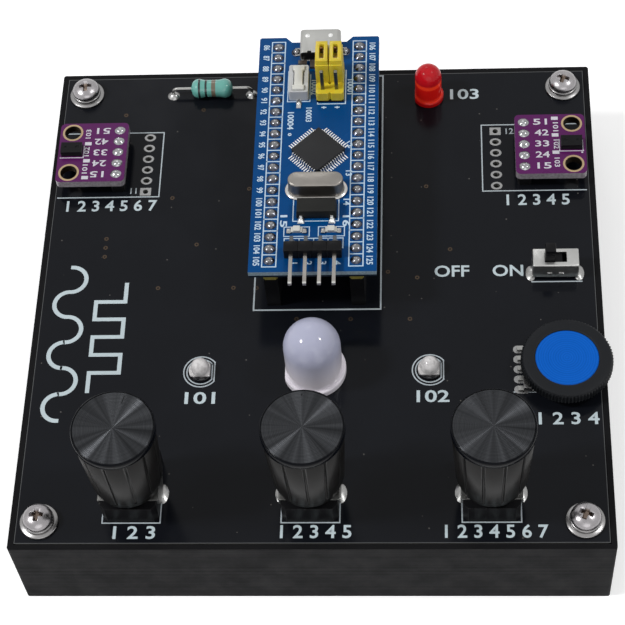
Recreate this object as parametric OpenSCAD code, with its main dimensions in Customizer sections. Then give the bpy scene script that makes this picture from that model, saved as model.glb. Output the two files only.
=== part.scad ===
// Optical theremin: a square circuit board as the lid of a shallow tray, with plug-in boards,
// three potentiometers with tall knobs, a thumb wheel, a slide switch and indicator lamps.
// Millimetres. Origin: centre of the case's underside. +X right, +Y to the rear, +Z up.

/* [Case] */
// Thickness of the thin rim around the lid board
rim_t = 0.95; // [0.8:0.05:2.4]
// Height of the case from the table to its rim
case_h = 19; // [18:0.5:40]
// Thickness of the side walls under the lid board
wall = 2.4; // [1.8:0.2:4]
// Thickness of the case floor
floor_t = 2; // [1.2:0.2:4]
// Radius of the case's upright corners
corner_r = 0.5; // [0.4:0.1:2]
// Diameter of the four corner posts
post_d = 8; // [7:0.5:10]
// Depth of the bore in a corner post
post_bore_depth = 12; // [9:0.5:14]

/* [Lid board] */
// Side of the square lid board
panel_w = 100; // [100:1:120]
// Thickness of the lid board
panel_t = 1.6; // [1:0.1:2.4]
// How far the lid board's face stands above the rim
panel_proud = 0.1; // [0:0.05:0.5]
// Gap between the lid board's edge and the rim
panel_gap = 0.15; // [0.05:0.05:0.5]
// Distance of the screws from the lid board's edges
screw_inset = 4; // [3.6:0.1:6]
// Diameter of a drilled hole for a lead or a pin
drill_d = 1; // [0.95:0.05:1.1]

/* [Screws] */
// Outer diameter of the screw's shank
screw_d = 2.9; // [2.4:0.1:3]
// Length of the screw under its head
screw_len = 10; // [8:0.5:12]
// Diameter of the pan head
head_d = 5.2; // [5:0.1:6]
// Height of the pan head
head_h = 2; // [1.6:0.1:2.6]
// Outer diameter of the flat washer
washer_d = 6.6; // [6:0.1:7.4]
// Thickness of the flat washer
washer_t = 0.5; // [0.3:0.1:1]
// Outer diameter of the spring washer
spring_d = 5.4; // [5:0.1:6]
// Thickness of the spring washer
spring_t = 0.8; // [0.6:0.1:1.2]
// Outer diameter of the threaded insert
insert_d = 4.4; // [4:0.1:5]
// Length of the threaded insert
insert_h = 5; // [4:0.5:8]

/* [Controller board] */
// Width of the controller board
ctrl_w = 22.5; // [22.5:0.5:26]
// Length of the controller board
ctrl_l = 53; // [53:0.5:60]
// Thickness of the controller board
ctrl_t = 1.6; // [1:0.1:2]
// Distance of the controller board's middle from the lid board's rear edge
ctrl_inset = 27.54; // [27:0.1:30]
// Contacts in each pin row
row_pins = 20; // [16:1:20]
// Distance between the two pin rows
row_gap = 15.24; // [15.24:0.1:17]
// Height of the header sockets
socket_h = 8.5; // [7:0.5:11]
// Side of a processor body
cpu_w = 7; // [6:0.5:7.5]
// Height of a processor body
cpu_h = 1.5; // [1:0.1:2]
// Length of the crystal can
can_l = 9.9; // [9:0.1:10.4]
// Width of the crystal can
can_w = 3.5; // [3:0.1:3.8]
// Height of the crystal can
can_h = 3.6; // [2.5:0.1:5]
// Width of the USB shell
usb_w = 7.6; // [7:0.1:8]
// Height of the USB shell
usb_h = 2.7; // [2.5:0.1:3.2]
// Length of the USB shell
usb_l = 5.5; // [5:0.1:6]
// Height of the jumper caps
jumper_h = 6; // [5:0.5:6.5]

/* [Reset switch] */
// Width of the reset switch
reset_w = 3.6; // [3.2:0.1:4]
// Length of the reset switch
reset_l = 6.4; // [6:0.1:6.6]
// Height of the reset switch body
reset_h = 2.5; // [2:0.1:3.5]
// Travel of the reset button
reset_travel = 0.25; // [0.15:0.05:0.5]

/* [Sensor boards] */
// Width of a sensor board
sensor_w = 13; // [12.5:0.1:13.5]
// Depth of a sensor board
sensor_d = 13.7; // [13:0.1:15]
// Thickness of a sensor board
sensor_t = 1.6; // [1:0.1:2]
// Distance of a sensor board from the lid board's side edge
sensor_inset = 0.6; // [0.4:0.1:1]
// Distance of the sensor boards' middle from the lid board's rear edge
sensor_back = 20.65; // [17:0.5:23]
// Pins of a sensor board
sensor_pins_n = 5; // [4:1:5]
// Diameter of a sensor board's mounting holes
sensor_hole_d = 3.2; // [2.6:0.1:3.4]

/* [Knobs] */
// Distance between neighbouring knobs
pot_pitch = 30.4; // [28:0.2:34]
// Distance of the knob shafts from the lid board's front edge
pot_inset = 9; // [8:0.5:12]
// Diameter of the knob under its top edge
knob_top_d = 13.8; // [13:0.1:16]
// Diameter of the knob at its foot
knob_foot_d = 12; // [11:0.1:13]
// Height of the knob
knob_h = 17.8; // [14:0.2:22]
// Gap under the knob
knob_gap = 0.2; // [0.1:0.05:0.5]
// Width of the bevel around the knob's top
knob_bevel = 0.25; // [0.15:0.05:0.6]
// Height of the plain rim around the knob's top
knob_rim = 1; // [0.8:0.1:2]
// Grooves around the knob
knob_grooves = 12; // [8:1:24]
// Diameter of the potentiometer shaft
shaft_d = 6; // [5.5:0.1:6.4]
// Height of the potentiometer body
pot_h = 5; // [4.6:0.2:7]
// Width of the potentiometer body
pot_w = 9.5; // [9:0.1:10]

/* [Thumb wheel] */
// Diameter of the knurled wheel
wheel_d = 16; // [14:0.2:17]
// Height of the wheel's top above the lid board
wheel_top = 4.1; // [3.8:0.1:5]
// Thickness of the wheel
wheel_t = 2.4; // [2:0.1:2.6]
// Diameter of the disc in the wheel
wheel_disc_d = 11; // [8:0.2:12]
// Knurls around the wheel
wheel_knurls = 84; // [60:4:96]
// Distance of the wheel's axle from the lid board's side edge
wheel_inset = 5.95; // [5.5:0.1:7]
// Sideways travel of the wheel when it is pressed
wheel_press = 0.5; // [0.3:0.1:0.8]

/* [Slide switch] */
// Length of the slide switch
switch_l = 8.25; // [8.2:0.1:9]
// Depth of the slide switch
switch_d = 3.85; // [3.6:0.1:4.2]
// Height of the slide switch body
switch_h = 4.3; // [4:0.1:5.5]
// Height of the slider above the switch body
slider_h = 3.2; // [2:0.2:5]
// Width of the slider
slider_w = 1.85; // [1.6:0.05:2]
// Travel of the slider
slider_travel = 2; // [1.6:0.1:2]

/* [Lamps and inductor] */
// Diameter of the large lamp
big_lamp_d = 10; // [8:0.5:10]
// Height of the large lamp
big_lamp_h = 13.4; // [10:0.2:15]
// Diameter of the red lamp
red_lamp_d = 5; // [4:0.1:5.2]
// Height of the red lamp
red_lamp_h = 8.5; // [7:0.1:10]
// Diameter of the small clear lamps
small_lamp_d = 3.2; // [3:0.1:4]
// Height of the small clear lamps
small_lamp_h = 3.4; // [3:0.1:5.5]
// Length of the inductor body
coil_l = 8.1; // [7:0.1:9]
// Diameter of the inductor's ends
coil_d = 3.7; // [3:0.1:4.2]

/* [Audio jack] */
// Diameter of the jack's bore
jack_bore_d = 3.6; // [3.5:0.05:3.7]
// Depth of the jack's bore from the case's rear face
jack_depth = 14; // [13:0.5:15]
// Diameter of the jack's nose
jack_nose_d = 5; // [4.8:0.1:5.4]

/* [Hidden] */
$fn = 64;

// Fits and standard parts
pitch = 2.54;
pin_w = 0.64;
pin_fit = 0.01;
run_fit = 0.05;
seat_fit = 0.03;
part_gap = 0.1;
tail = 1.5;
sheet_t = 0.3;

// Case and lid board
recess_w = panel_w + 2 * panel_gap;
case_w = recess_w + 2 * rim_t;
inner_w = case_w - 2 * wall;
panel_z = case_h + panel_proud - panel_t;
top_z = panel_z + panel_t;
screw_xy = panel_w / 2 - screw_inset;
edge = panel_w / 2;

// Controller board and what stands on it
ctrl_y = edge - ctrl_inset;
ctrl_rear = ctrl_y + ctrl_l / 2;
strip_z = top_z + socket_h;
ctrl_z = strip_z + pitch;
deck_z = ctrl_z + ctrl_t;
row_len = row_pins * pitch;
pin_above = 0.45;
pin_below = 6;
notch_w = 10.3;
notch_deep = 1.2;
notch_slope = 1.15;
board_chamfer = 0.3;
usb_x = 0.35;
usb_rear_y = ctrl_rear - 0.35;
reset_x = -3.45;
reset_y = ctrl_rear - usb_l - reset_l;
reset_rise = 0.45;
reset_key = [2.2, 5.6];
boot_x = 2.35;
boot_y = ctrl_rear - usb_l - 6.3;
boot_pin_h = 6;
cpu_x = 0.45;
cpu_y = ctrl_y - 0.55;
can_x = 0.3;
can_y = cpu_y - 8.45;
clock_x = 0.5;
clock_y = can_y - 4.4;
clock_l = 7.4;
clock_d = 3.7;
clock_h = 2.2;
lamp_row_y = clock_y - 4.3;
debug_x = 0.1;
debug_y = lamp_row_y - 4.75;
debug_reach = 6.2;
leg_gap = 0.9;

// Sensor boards
sensor_x = edge - sensor_inset - sensor_w / 2;
sensor_y = [edge - sensor_back - 0.25, edge - sensor_back + 0.1];
sensor_pin_x = sensor_x - sensor_w / 2 + 1.65;
sensor_z = top_z + pitch;
spare_x = edge - 17.1;
spare_y = [edge - 20.9, edge - 20.65];
spare_pins = 6;
sensor_chip = [3.94, 2.36, 1.35];

// Potentiometers and knobs
pot_x = [for (i = [-1 : 1]) i * pot_pitch + 0.1];
pot_y = pot_inset - edge;
pot_front = 5;
pot_back = 6.35;
neck_h = 1;
neck_d = shaft_d + 1;
knob_z = top_z + pot_h + neck_h + knob_gap;
knob_top = knob_z + knob_h;
shaft_top = knob_z + knob_h * 0.72;
shaft_foot = top_z + 1;
disc_t = 0.8;
disc_r = knob_top_d / 2 - knob_bevel - 0.05;
groove_at = [14, 5, 15];
lug_x = pot_w / 2 + sheet_t / 2 + part_gap;

// Thumb wheel
wheel_x = edge - wheel_inset;
wheel_y = -16.65;
wheel_z = top_z + wheel_top - wheel_t;
wheel_plate_t = 0.7;
axle_d = 3;
knurl_depth = 0.3;
disc_recess = 0.8;
contact_x = wheel_x - 8.3;
contact_pitch = 2.03;

// Slide switch
switch_x = edge - 7.12;
switch_y = 4.05;
slider_rest = -slider_travel / 2;
slot_w = 2.2;
slot_l = slider_w + slider_travel + 2 * run_fit;
foot_l = 4.4;
foot_h = 1.4;
foot_z = switch_h - sheet_t - part_gap - foot_h;

// Lamps, inductor and audio output
big_lamp = [0.05, -16.6];
red_lamp_xy = [20.35, edge - 5.6];
small_lamps = [[-20.1, -16.65], [20.3, -16.6]];
coil_y = edge - 4.2;
coil_span = 15.24;
coil_gap = 2.53;
coil_x = -ctrl_w / 2 - coil_gap - coil_span / 2;
lead_d = 0.6;
jack_x = edge - 17;
jack_body = [6.4, jack_depth - wall, 5];
jack_z = panel_z - jack_body[2] / 2;
converter = [edge - 28, edge - 38];

// Rectangle with rounded corners, as a plate
module rounded_plate(w, d, h, r) {
    linear_extrude(h) {
        square([w - 2 * r, d], center = true);
        square([w, d - 2 * r], center = true);
        for (x = [-1, 1], y = [-1, 1])
            translate([x * (w / 2 - r), y * (d / 2 - r)]) circle(r);
    }
}

// Block centred in X and Y that stands on z = 0
module block(size) {
    translate([-size[0] / 2, -size[1] / 2, 0]) cube(size);
}

// Square pin from z0 to z1
module pin(z0, z1, w = pin_w) {
    translate([0, 0, z0]) block([w, w, z1 - z0]);
}

// Copies its child at the four screw places
module at_corners() {
    for (x = [-screw_xy, screw_xy], y = [-screw_xy, screw_xy])
        translate([x, y, 0]) children();
}

// Copies its child along a row of n places on the Y axis
module along_row(n, step = pitch) {
    for (i = [0 : n - 1])
        translate([0, (i - (n - 1) / 2) * step, 0]) children();
}

// Copies its child at each pin of the controller board
module at_row_pins() {
    for (side = [-1, 1])
        translate([side * row_gap / 2, ctrl_y, 0]) along_row(row_pins) children();
}

// Copies its child at the three potentiometers
module at_pots() {
    for (x = pot_x)
        translate([x, pot_y, top_z]) children();
}

// Index of a side in a list of two: 0 for the left one, 1 for the right one
function of_side(side) = side > 0 ? 1 : 0;

// Places its child on the sensor board of one side; the left one is turned half round
module at_sensor(side) {
    translate([side * sensor_x, sensor_y[of_side(side)], sensor_z]) rotate(side > 0 ? 0 : 180) children();
}

// ---- Case ----

module case() {
    color("#26262a")
    difference() {
        rounded_plate(case_w, case_w, case_h, corner_r);
        translate([0, 0, panel_z]) block([recess_w, recess_w, case_h]);
        difference() {
            translate([0, 0, floor_t]) block([inner_w, inner_w, case_h]);
            at_corners() cylinder(h = panel_z, d = post_d);
        }
        at_corners() translate([0, 0, panel_z - post_bore_depth])
            cylinder(h = post_bore_depth + 1, d = insert_d);
        translate([jack_x, case_w / 2 + 1, jack_z]) rotate([90, 0, 0])
            cylinder(h = wall + 2, d = jack_nose_d + 2 * part_gap);
    }
}

module threaded_inserts() {
    color("#b8923a")
    at_corners() translate([0, 0, panel_z - insert_h])
        difference() {
            cylinder(h = insert_h, d = insert_d);
            translate([0, 0, -1]) cylinder(h = insert_h + 2, d = screw_d + 2 * run_fit);
            for (z = [insert_h * 0.3, insert_h * 0.7])
                translate([0, 0, z]) difference() {
                    cylinder(h = 0.4, d = insert_d + 1);
                    cylinder(h = 0.4, d = insert_d - 0.5);
                }
        }
}

// Drilled places of the lid board, one list per kind
module panel_holes() {
    at_corners() cylinder(h = panel_t + 2, d = screw_d + 0.3);
    at_row_pins() cylinder(h = panel_t + 2, d = drill_d);
    for (side = [-1, 1]) {
        translate([side * spare_x, spare_y[of_side(side)], 0]) along_row(spare_pins) cylinder(h = panel_t + 2, d = drill_d);
        translate([side * sensor_pin_x, sensor_y[of_side(side)], 0]) along_row(sensor_pins_n)
            cylinder(h = panel_t + 2, d = drill_d);
        translate([coil_x + side * coil_span / 2, coil_y, 0]) cylinder(h = panel_t + 2, d = drill_d);
    }
    at_lamp_leads() cylinder(h = panel_t + 2, d = drill_d);
    for (x = pot_x) translate([x, pot_y, 0]) {
        for (side = [-1, 1]) translate([side * lug_x, 0, 0]) block([1, 2.4, panel_t + 2]);
        for (i = [-1 : 1]) translate([i * 2.5, pot_back + 0.6, 0]) cylinder(h = panel_t + 2, d = drill_d);
    }
    for (side = [-1, 1])
        translate([switch_x + side * (switch_l - sheet_t) / 2, switch_y, 0]) block([0.8, 1.8, panel_t + 2]);
    for (i = [-1 : 1]) translate([switch_x + i * 2.5, switch_y, 0]) cylinder(h = panel_t + 2, d = drill_d);
    translate([contact_x, wheel_y, 0]) along_row(5, contact_pitch) cylinder(h = panel_t + 2, d = drill_d);
}

module panel_board() {
    color("#1e1f23")
    translate([0, 0, panel_z])
        difference() {
            rounded_plate(panel_w, panel_w, panel_t, 0.5);
            translate([0, 0, -1]) panel_holes();
        }
}

// ---- Fasteners ----

// Dome of a pan head: a flat crown with a round shoulder
module pan_head() {
    shoulder = head_h * 0.6;
    rotate_extrude()
        intersection() {
            square([head_d / 2, head_h]);
            union() {
                square([head_d / 2 - shoulder, head_h]);
                square([head_d / 2, head_h - shoulder]);
                translate([head_d / 2 - shoulder, head_h - shoulder]) circle(shoulder);
            }
        }
}

module corner_screws() {
    head_z = top_z + washer_t + spring_t;
    color("#c8c8c6")
    at_corners() {
        difference() {
            translate([0, 0, head_z]) pan_head();
            for (a = [0, 90]) rotate(a + 45) translate([0, 0, head_z + head_h - 1.1])
                intersection() {
                    block([head_d * 0.56, 0.75, 2]);
                    cylinder(h = 2, d1 = head_d * 0.25, d2 = head_d * 0.9);
                }
        }
        translate([0, 0, head_z - screw_len]) cylinder(h = screw_len, d = screw_d);
        translate([0, 0, head_z - screw_len - 0.5]) cylinder(h = 0.5, d1 = screw_d - 0.8, d2 = screw_d);
    }
}

module spring_washers() {
    color("#aeb0b2")
    at_corners() translate([0, 0, top_z + washer_t])
        difference() {
            cylinder(h = spring_t, d = spring_d);
            translate([0, 0, -1]) cylinder(h = spring_t + 2, d = screw_d + 0.2);
            rotate(20) translate([spring_d / 2, 0, -1]) rotate([0, 0, 25]) block([spring_d, 0.35, spring_t + 2]);
        }
}

module flat_washers() {
    color("#d2d4d6")
    at_corners() translate([0, 0, top_z])
        difference() {
            cylinder(h = washer_t, d = washer_d);
            translate([0, 0, -1]) cylinder(h = washer_t + 2, d = screw_d + 0.3);
        }
}

// ---- Controller board ----

module header_sockets() {
    cavity = pin_w + 0.3;
    color("#1b1b1d")
    for (side = [-1, 1]) translate([side * row_gap / 2, ctrl_y, top_z])
        difference() {
            block([pitch - 0.04, row_len, socket_h]);
            along_row(row_pins) {
                translate([0, 0, -1]) block([pin_w + 2 * pin_fit, pin_w + 2 * pin_fit, socket_h]);
                translate([0, 0, socket_h - pin_below - part_gap]) block([cavity, cavity, socket_h]);
            }
        }
}

module socket_contacts() {
    color("#c9b26a")
    at_row_pins() pin(panel_z - tail, strip_z - pin_below - 2 * part_gap);
}

// One moulded pin strip: a row of blocks with bevelled ends that break apart
module strip_body(n, h = pitch) {
    c = 0.35;
    w = pitch / 2;
    along_row(n) linear_extrude(h)
        polygon([[-w, -w + c], [-w + c, -w], [w - c, -w], [w, -w + c],
                 [w, w - c], [w - c, w], [-w + c, w], [-w, w - c]]);
}

module pin_strips() {
    color("#dcc838")
    for (side = [-1, 1]) translate([side * row_gap / 2, ctrl_y, strip_z])
        difference() {
            strip_body(row_pins);
            along_row(row_pins) translate([0, 0, -1]) block([pin_w + 2 * pin_fit, pin_w + 2 * pin_fit, 5]);
        }
}

module strip_pins() {
    color("#c0c2c6")
    at_row_pins() pin(strip_z - pin_below, deck_z + pin_above);
}

module controller_outline() {
    rear = ctrl_l / 2;
    side = ctrl_w / 2;
    notch = notch_w / 2;
    polygon([
        [-side, -rear], [side, -rear], [side, rear - board_chamfer], [side - board_chamfer, rear],
        [notch + notch_slope, rear], [notch, rear - notch_deep],
        [-notch, rear - notch_deep], [-notch - notch_slope, rear],
        [board_chamfer - side, rear], [-side, rear - board_chamfer],
    ]);
}

module controller_board() {
    color("#0f4a94")
    translate([0, ctrl_y, ctrl_z])
        difference() {
            linear_extrude(ctrl_t) controller_outline();
            translate([0, -ctrl_y, -1]) {
                at_row_pins() cylinder(h = ctrl_t + 2, d = drill_d);
                at_boot_pins() cylinder(h = ctrl_t + 2, d = drill_d);
                at_debug_pins() translate([0, pitch / 2 + leg_gap, 0]) cylinder(h = ctrl_t + 2, d = drill_d);
            }
        }
}

// Cross-section of a thin sheet-metal box with round corners
module shell_ring(w, h, r, t) {
    difference() {
        rounded_square(w, h, r);
        rounded_square(w - 2 * t, h - 2 * t, r - t);
    }
}

module rounded_square(w, h, r) {
    square([w - 2 * r, h], center = true);
    square([w, h - 2 * r], center = true);
    for (x = [-1, 1], y = [-1, 1])
        translate([x * (w / 2 - r), y * (h / 2 - r)]) circle(r);
}

module usb_shell() {
    t = 0.25;
    color("#c4c6c8")
    translate([usb_x, usb_rear_y, deck_z + usb_h / 2]) {
        rotate([90, 0, 0]) linear_extrude(usb_l) shell_ring(usb_w, usb_h, 0.7, t);
        translate([0, -usb_l + t / 2, -usb_h / 2 + t / 2]) block([usb_w - 1.4, t, usb_h - t]);
        for (side = [-1, 1])
            translate([side * (usb_w / 2 + 0.45), -usb_l + 2.2, -usb_h / 2]) block([1.2, 1.8, t]);
    }
}

module usb_tongue() {
    color("#1a1a1c")
    translate([usb_x, usb_rear_y - usb_l + 0.3, deck_z + 0.3]) {
        translate([0, 0.55, 0]) block([usb_w - 1.8, 1.0, usb_h - 0.65]);
        translate([0, 2.4, 1.1]) block([3.8, 3.2, 0.6]);
    }
}

// Grey switch body with a window for the button
module reset_switch() {
    color("#b6b8ba")
    translate([reset_x, reset_y, deck_z]) {
        difference() {
            rounded_plate(reset_w, reset_l, reset_h, 0.4);
            translate([0, 0, reset_h - 1.4]) block([reset_key[0] + 2 * run_fit, reset_key[1] + 2 * run_fit, 3]);
        }
        for (side = [-1, 1])
            translate([0, side * (reset_l / 2 + 0.9), 0]) block([0.8, 1.9, 0.25]);
    }
}

// White button: two wide ends joined by a narrower bar
module reset_button() {
    foot = reset_h - 1.4 + reset_travel;
    rise = reset_h + reset_rise;
    color("#e8e8e6")
    translate([reset_x, reset_y, deck_z]) {
        translate([0, 0, foot + part_gap]) block([reset_key[0] - 0.6, reset_key[1], rise - foot - part_gap]);
        for (side = [-1, 1])
            translate([0, side * (reset_key[1] / 2 - 0.6), foot + part_gap])
                block([reset_key[0], 1.2, rise - foot - part_gap]);
    }
}

// Copies its child at the six boot pins
module at_boot_pins() {
    for (x = [-0.5, 0.5])
        translate([boot_x + x * pitch, boot_y, 0]) along_row(3) children();
}

module boot_header() {
    color("#dcc838")
    translate([boot_x, boot_y, deck_z])
        difference() {
            for (x = [-0.5, 0.5]) translate([x * pitch, 0, 0]) strip_body(3);
            for (x = [-0.5, 0.5]) translate([x * pitch, 0, -1]) along_row(3)
                block([pin_w + 2 * pin_fit, pin_w + 2 * pin_fit, 5]);
        }
}

module boot_pins() {
    color("#c0c2c6")
    at_boot_pins() pin(ctrl_z - 1, deck_z + pitch + boot_pin_h);
}

// Cap that joins two boot pins; the slot on top shows the contact
module jumper_cap() {
    w = pitch - 0.1;
    l = 2 * pitch - 0.1;
    hole = pin_w + 2 * run_fit;
    translate([0, pitch / 2, deck_z + pitch])
        difference() {
            union() {
                block([w, l, jumper_h - 1.2]);
                translate([0, 0, jumper_h - 1.2]) block([w - 0.3, l - 0.3, 1.2]);
            }
            along_row(2) translate([0, 0, -1]) block([hole, hole, jumper_h + 2]);
            translate([0, 0, jumper_h - 1.4]) block([0.9, 2.8, 3]);
        }
}

module left_jumper() {
    color("#e0cc30") translate([boot_x - pitch / 2, boot_y, 0]) jumper_cap();
}

module right_jumper() {
    color("#e0cc30") translate([boot_x + pitch / 2, boot_y, 0]) jumper_cap();
}

module processor() {
    bevel = 0.12;
    color("#222326")
    translate([cpu_x, cpu_y, deck_z + part_gap]) rotate(45)
        difference() {
            block([cpu_w, cpu_w, cpu_h - part_gap]);
            translate([-cpu_w / 2 + 0.8, -cpu_w / 2 + 0.8, cpu_h - part_gap - 0.05]) cylinder(h = 1, d = 0.7);
            for (a = [0 : 90 : 270]) rotate(a) translate([cpu_w / 2, 0, cpu_h - part_gap])
                rotate([0, 45, 0]) block([bevel, cpu_w + 1, bevel]);
        }
}

// Gull-wing lead that leaves a body at height h and stands on z = 0; +X is outwards
module gull_lead(h, reach, w) {
    t = 0.12;
    translate([0, w / 2, 0]) rotate([90, 0, 0]) linear_extrude(w)
        polygon([[0, h], [0, h - t], [reach * 0.35, h - t], [reach * 0.45, 0], [reach, 0],
                 [reach, t], [reach * 0.45 + t, t], [reach * 0.35 + t, h]]);
}

module chip_leads() {
    color("#c8cacc") {
        translate([cpu_x, cpu_y, deck_z]) rotate(45)
            for (a = [0 : 90 : 270]) rotate(a) translate([cpu_w / 2, 0, 0])
                along_row(12, 0.5) gull_lead(cpu_h * 0.55, 1, 0.22);
        translate([clock_x, clock_y - clock_d / 2 - 0.45, deck_z]) for (x = [-2.75, 2.75])
            translate([x, 0, 0]) block([0.9, 0.9, 0.5]);
        translate([converter[0], converter[1], panel_z]) rotate([180, 0, 0])
            for (a = [0, 180]) rotate(a) translate([1.95, 0, 0])
                along_row(8, 1.27) gull_lead(0.9, 1.05, 0.4);
    }
}

// Long can with round ends and a soft top edge
module long_can(l, w, h, r) {
    e = (l - w) / 2;
    module section() {
        square([w / 2, h - r]);
        square([w / 2 - r, h]);
        translate([w / 2 - r, h - r]) circle(r);
    }
    for (side = [-1, 1])
        translate([side * e, 0, 0]) rotate_extrude() intersection() {
            section();
            square([w, h]);
        }
    translate([-e, 0, 0]) rotate([90, 0, 90]) linear_extrude(2 * e)
        for (m = [0, 1]) mirror([m, 0]) section();
}

module crystal_can() {
    color("#c2c0ba")
    translate([can_x, can_y, deck_z]) {
        long_can(can_l + 1.3, can_w + 1.1, 0.5, 0.2);
        long_can(can_l, can_w, can_h, 0.6);
    }
}

module clock_crystal() {
    color("#1f1f21")
    translate([clock_x, clock_y, deck_z + part_gap]) {
        difference() {
            block([clock_l, clock_d, clock_h]);
            translate([-clock_l / 2 + 0.9, -clock_d / 2 + 0.9, clock_h - 0.06]) cylinder(h = 1, d = 0.8);
        }
    }
}

module board_lamps() {
    color("#e6e8ea")
    for (side = [-1, 1]) translate([0.1 + side * 3.05, lamp_row_y, deck_z]) {
        block([2, 1.1, 0.35]);
        translate([0, 0, 0.35]) block([1.2, 1.1, 0.35]);
    }
}

// Copies its child at the four pins of the right-angle header
module at_debug_pins() {
    for (i = [0 : 3])
        translate([debug_x + (i - 1.5) * pitch, debug_y, 0]) children();
}

module debug_header() {
    color("#1b1b1d")
    translate([debug_x, debug_y, deck_z])
        difference() {
            rotate(90) strip_body(4);
            for (i = [0 : 3]) translate([(i - 1.5) * pitch, -2, pitch / 2])
                rotate([-90, 0, 0]) translate([0, 0, 2]) cube([pin_w + 2 * pin_fit, pin_w + 2 * pin_fit, 5], center = true);
        }
}

// Pins bent at a right angle: forward through the moulding and down through the board
module debug_pins() {
    back = pitch / 2 + leg_gap;
    color("#c0c2c6")
    at_debug_pins() {
        translate([-pin_w / 2, -pitch / 2 - debug_reach, deck_z + pitch / 2 - pin_w / 2])
            cube([pin_w, debug_reach + pitch / 2 + back + pin_w / 2, pin_w]);
        translate([0, back, 0]) pin(ctrl_z - 1, deck_z + pitch / 2);
    }
}

// Chip capacitor or resistor with its two end caps
module chip_part(l = 1.6, w = 0.8, h = 0.6) {
    block([l - 0.5, w, h]);
    for (side = [-1, 1])
        translate([side * (l / 2 - 0.2), 0, 0]) block([0.4, w + 0.06, h + 0.06]);
}

module chip_parts() {
    color("#8a7a66") {
        translate([-3.0, usb_rear_y - usb_l - 0.6, deck_z]) chip_part();
        translate([-1.2, usb_rear_y - usb_l - 1, deck_z]) rotate(90) chip_part();
        translate([0, ctrl_y, ctrl_z]) rotate([0, 180, 0]) {
            translate([4, 17, 0]) block([2.9, 1.6, 1.1]);
            for (i = [0 : 6]) translate([-4.2 + (i % 2) * 8.4, 9.4 - i * 3.9, 0]) rotate(90) chip_part();
            for (i = [0 : 3]) translate([-3 + i * 2, 6.4, 0]) rotate(90) chip_part();
        }
    }
}

// ---- Sensor boards ----

module sensor_board() {
    difference() {
        rounded_plate(sensor_w, sensor_d, sensor_t, 0.9);
        translate([-sensor_x + sensor_pin_x, 0, -1]) along_row(sensor_pins_n)
            cylinder(h = sensor_t + 2, d = drill_d);
        for (side = [-1, 1])
            translate([sensor_w / 2 - 2.4, side * 4.65, -1]) cylinder(h = sensor_t + 2, d = sensor_hole_d);
    }
}

module left_sensor_board() {
    color("#5d2a62") at_sensor(-1) sensor_board();
}

module right_sensor_board() {
    color("#5d2a62") at_sensor(1) sensor_board();
}

// Sensor packages: a black block with an emitter and a receiver window
module sensor_chips() {
    color("#19191b")
    for (side = [-1, 1]) at_sensor(side)
        translate([sensor_w / 2 - 2.65, -0.25, sensor_t])
            difference() {
                block(sensor_chip);
                for (q = [[-1.2, 0.9], [1.1, 0.6]])
                    translate([q[0], 0, sensor_chip[2] - 0.12]) cylinder(h = 1, r = q[1] / 2);
            }
}

module sensor_headers() {
    color("#1b1b1d")
    for (side = [-1, 1]) translate([side * sensor_pin_x, sensor_y[of_side(side)], top_z])
        difference() {
            strip_body(sensor_pins_n);
            along_row(sensor_pins_n) translate([0, 0, -1])
                block([pin_w + 2 * pin_fit, pin_w + 2 * pin_fit, 5]);
        }
}

module sensor_pins() {
    color("#c0c2c6")
    for (side = [-1, 1]) translate([side * sensor_pin_x, sensor_y[of_side(side)], 0])
        along_row(sensor_pins_n) pin(panel_z - tail, sensor_z + sensor_t + pin_above);
}

// ---- Inductor and lamps ----

// Moulded inductor along X: two round ends and a slimmer waist
module inductor() {
    r = coil_d / 2;
    waist = r - 0.2;
    round_r = 1.1;
    end_l = coil_l * 0.3;
    color("#5f9c86")
    translate([coil_x, coil_y, top_z + r]) rotate([0, 90, 0]) {
        cylinder(h = coil_l - 2 * end_l, r = waist, center = true);
        for (side = [0, 1]) mirror([0, 0, side]) translate([0, 0, coil_l / 2 - end_l]) {
            cylinder(h = 0.5, r1 = waist, r2 = r);
            translate([0, 0, 0.5]) cylinder(h = end_l - 0.5 - round_r - 0.2, r = r);
            translate([0, 0, end_l - round_r - 0.2]) rotate_extrude() {
                square([r - round_r, round_r]);
                translate([r - round_r, 0]) intersection() {
                    circle(round_r);
                    square(round_r);
                }
            }
            translate([0, 0, end_l - 0.2]) cylinder(h = 0.2, r1 = 0.8, r2 = 0.4);
        }
    }
}

// Round lead along X that bends down through the lid board
module coil_lead(run) {
    bend = 1;
    r = coil_d / 2;
    translate([0, 0, r]) rotate([0, 90, 0]) cylinder(h = run - bend, d = lead_d);
    translate([run - bend, 0, r - bend]) rotate([90, 0, 0])
        rotate_extrude(angle = 90) translate([bend, 0]) circle(d = lead_d);
    translate([run, 0, -panel_t - tail]) cylinder(h = r - bend + panel_t + tail, d = lead_d);
}

module inductor_leads() {
    run = (coil_span - coil_l) / 2;
    color("#c6c8ca")
    for (side = [0, 1])
        translate([coil_x, coil_y, top_z]) mirror([side, 0, 0]) translate([coil_l / 2, 0, 0]) coil_lead(run);
}

// Round lamp with a collar; the collar has a flat on one side
module lamp(d, h, collar_d, collar_h, flat_side) {
    difference() {
        cylinder(h = collar_h, d = collar_d);
        translate([flat_side * (collar_d / 2 + d / 2 + 0.1), 0, -1]) block([d, collar_d, collar_h + 2]);
    }
    cylinder(h = h - d / 2, d = d);
    translate([0, 0, h - d / 2]) sphere(d = d);
}

module red_lamp() {
    color("#c02020")
    translate([red_lamp_xy[0], red_lamp_xy[1], top_z]) lamp(red_lamp_d, red_lamp_h, red_lamp_d + 0.8, 1, -1);
}

module colour_lamp() {
    color("#c6c6dc")
    translate([big_lamp[0], big_lamp[1], top_z]) lamp(big_lamp_d, big_lamp_h, big_lamp_d + 1.2, 1.4, -1);
}

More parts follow.
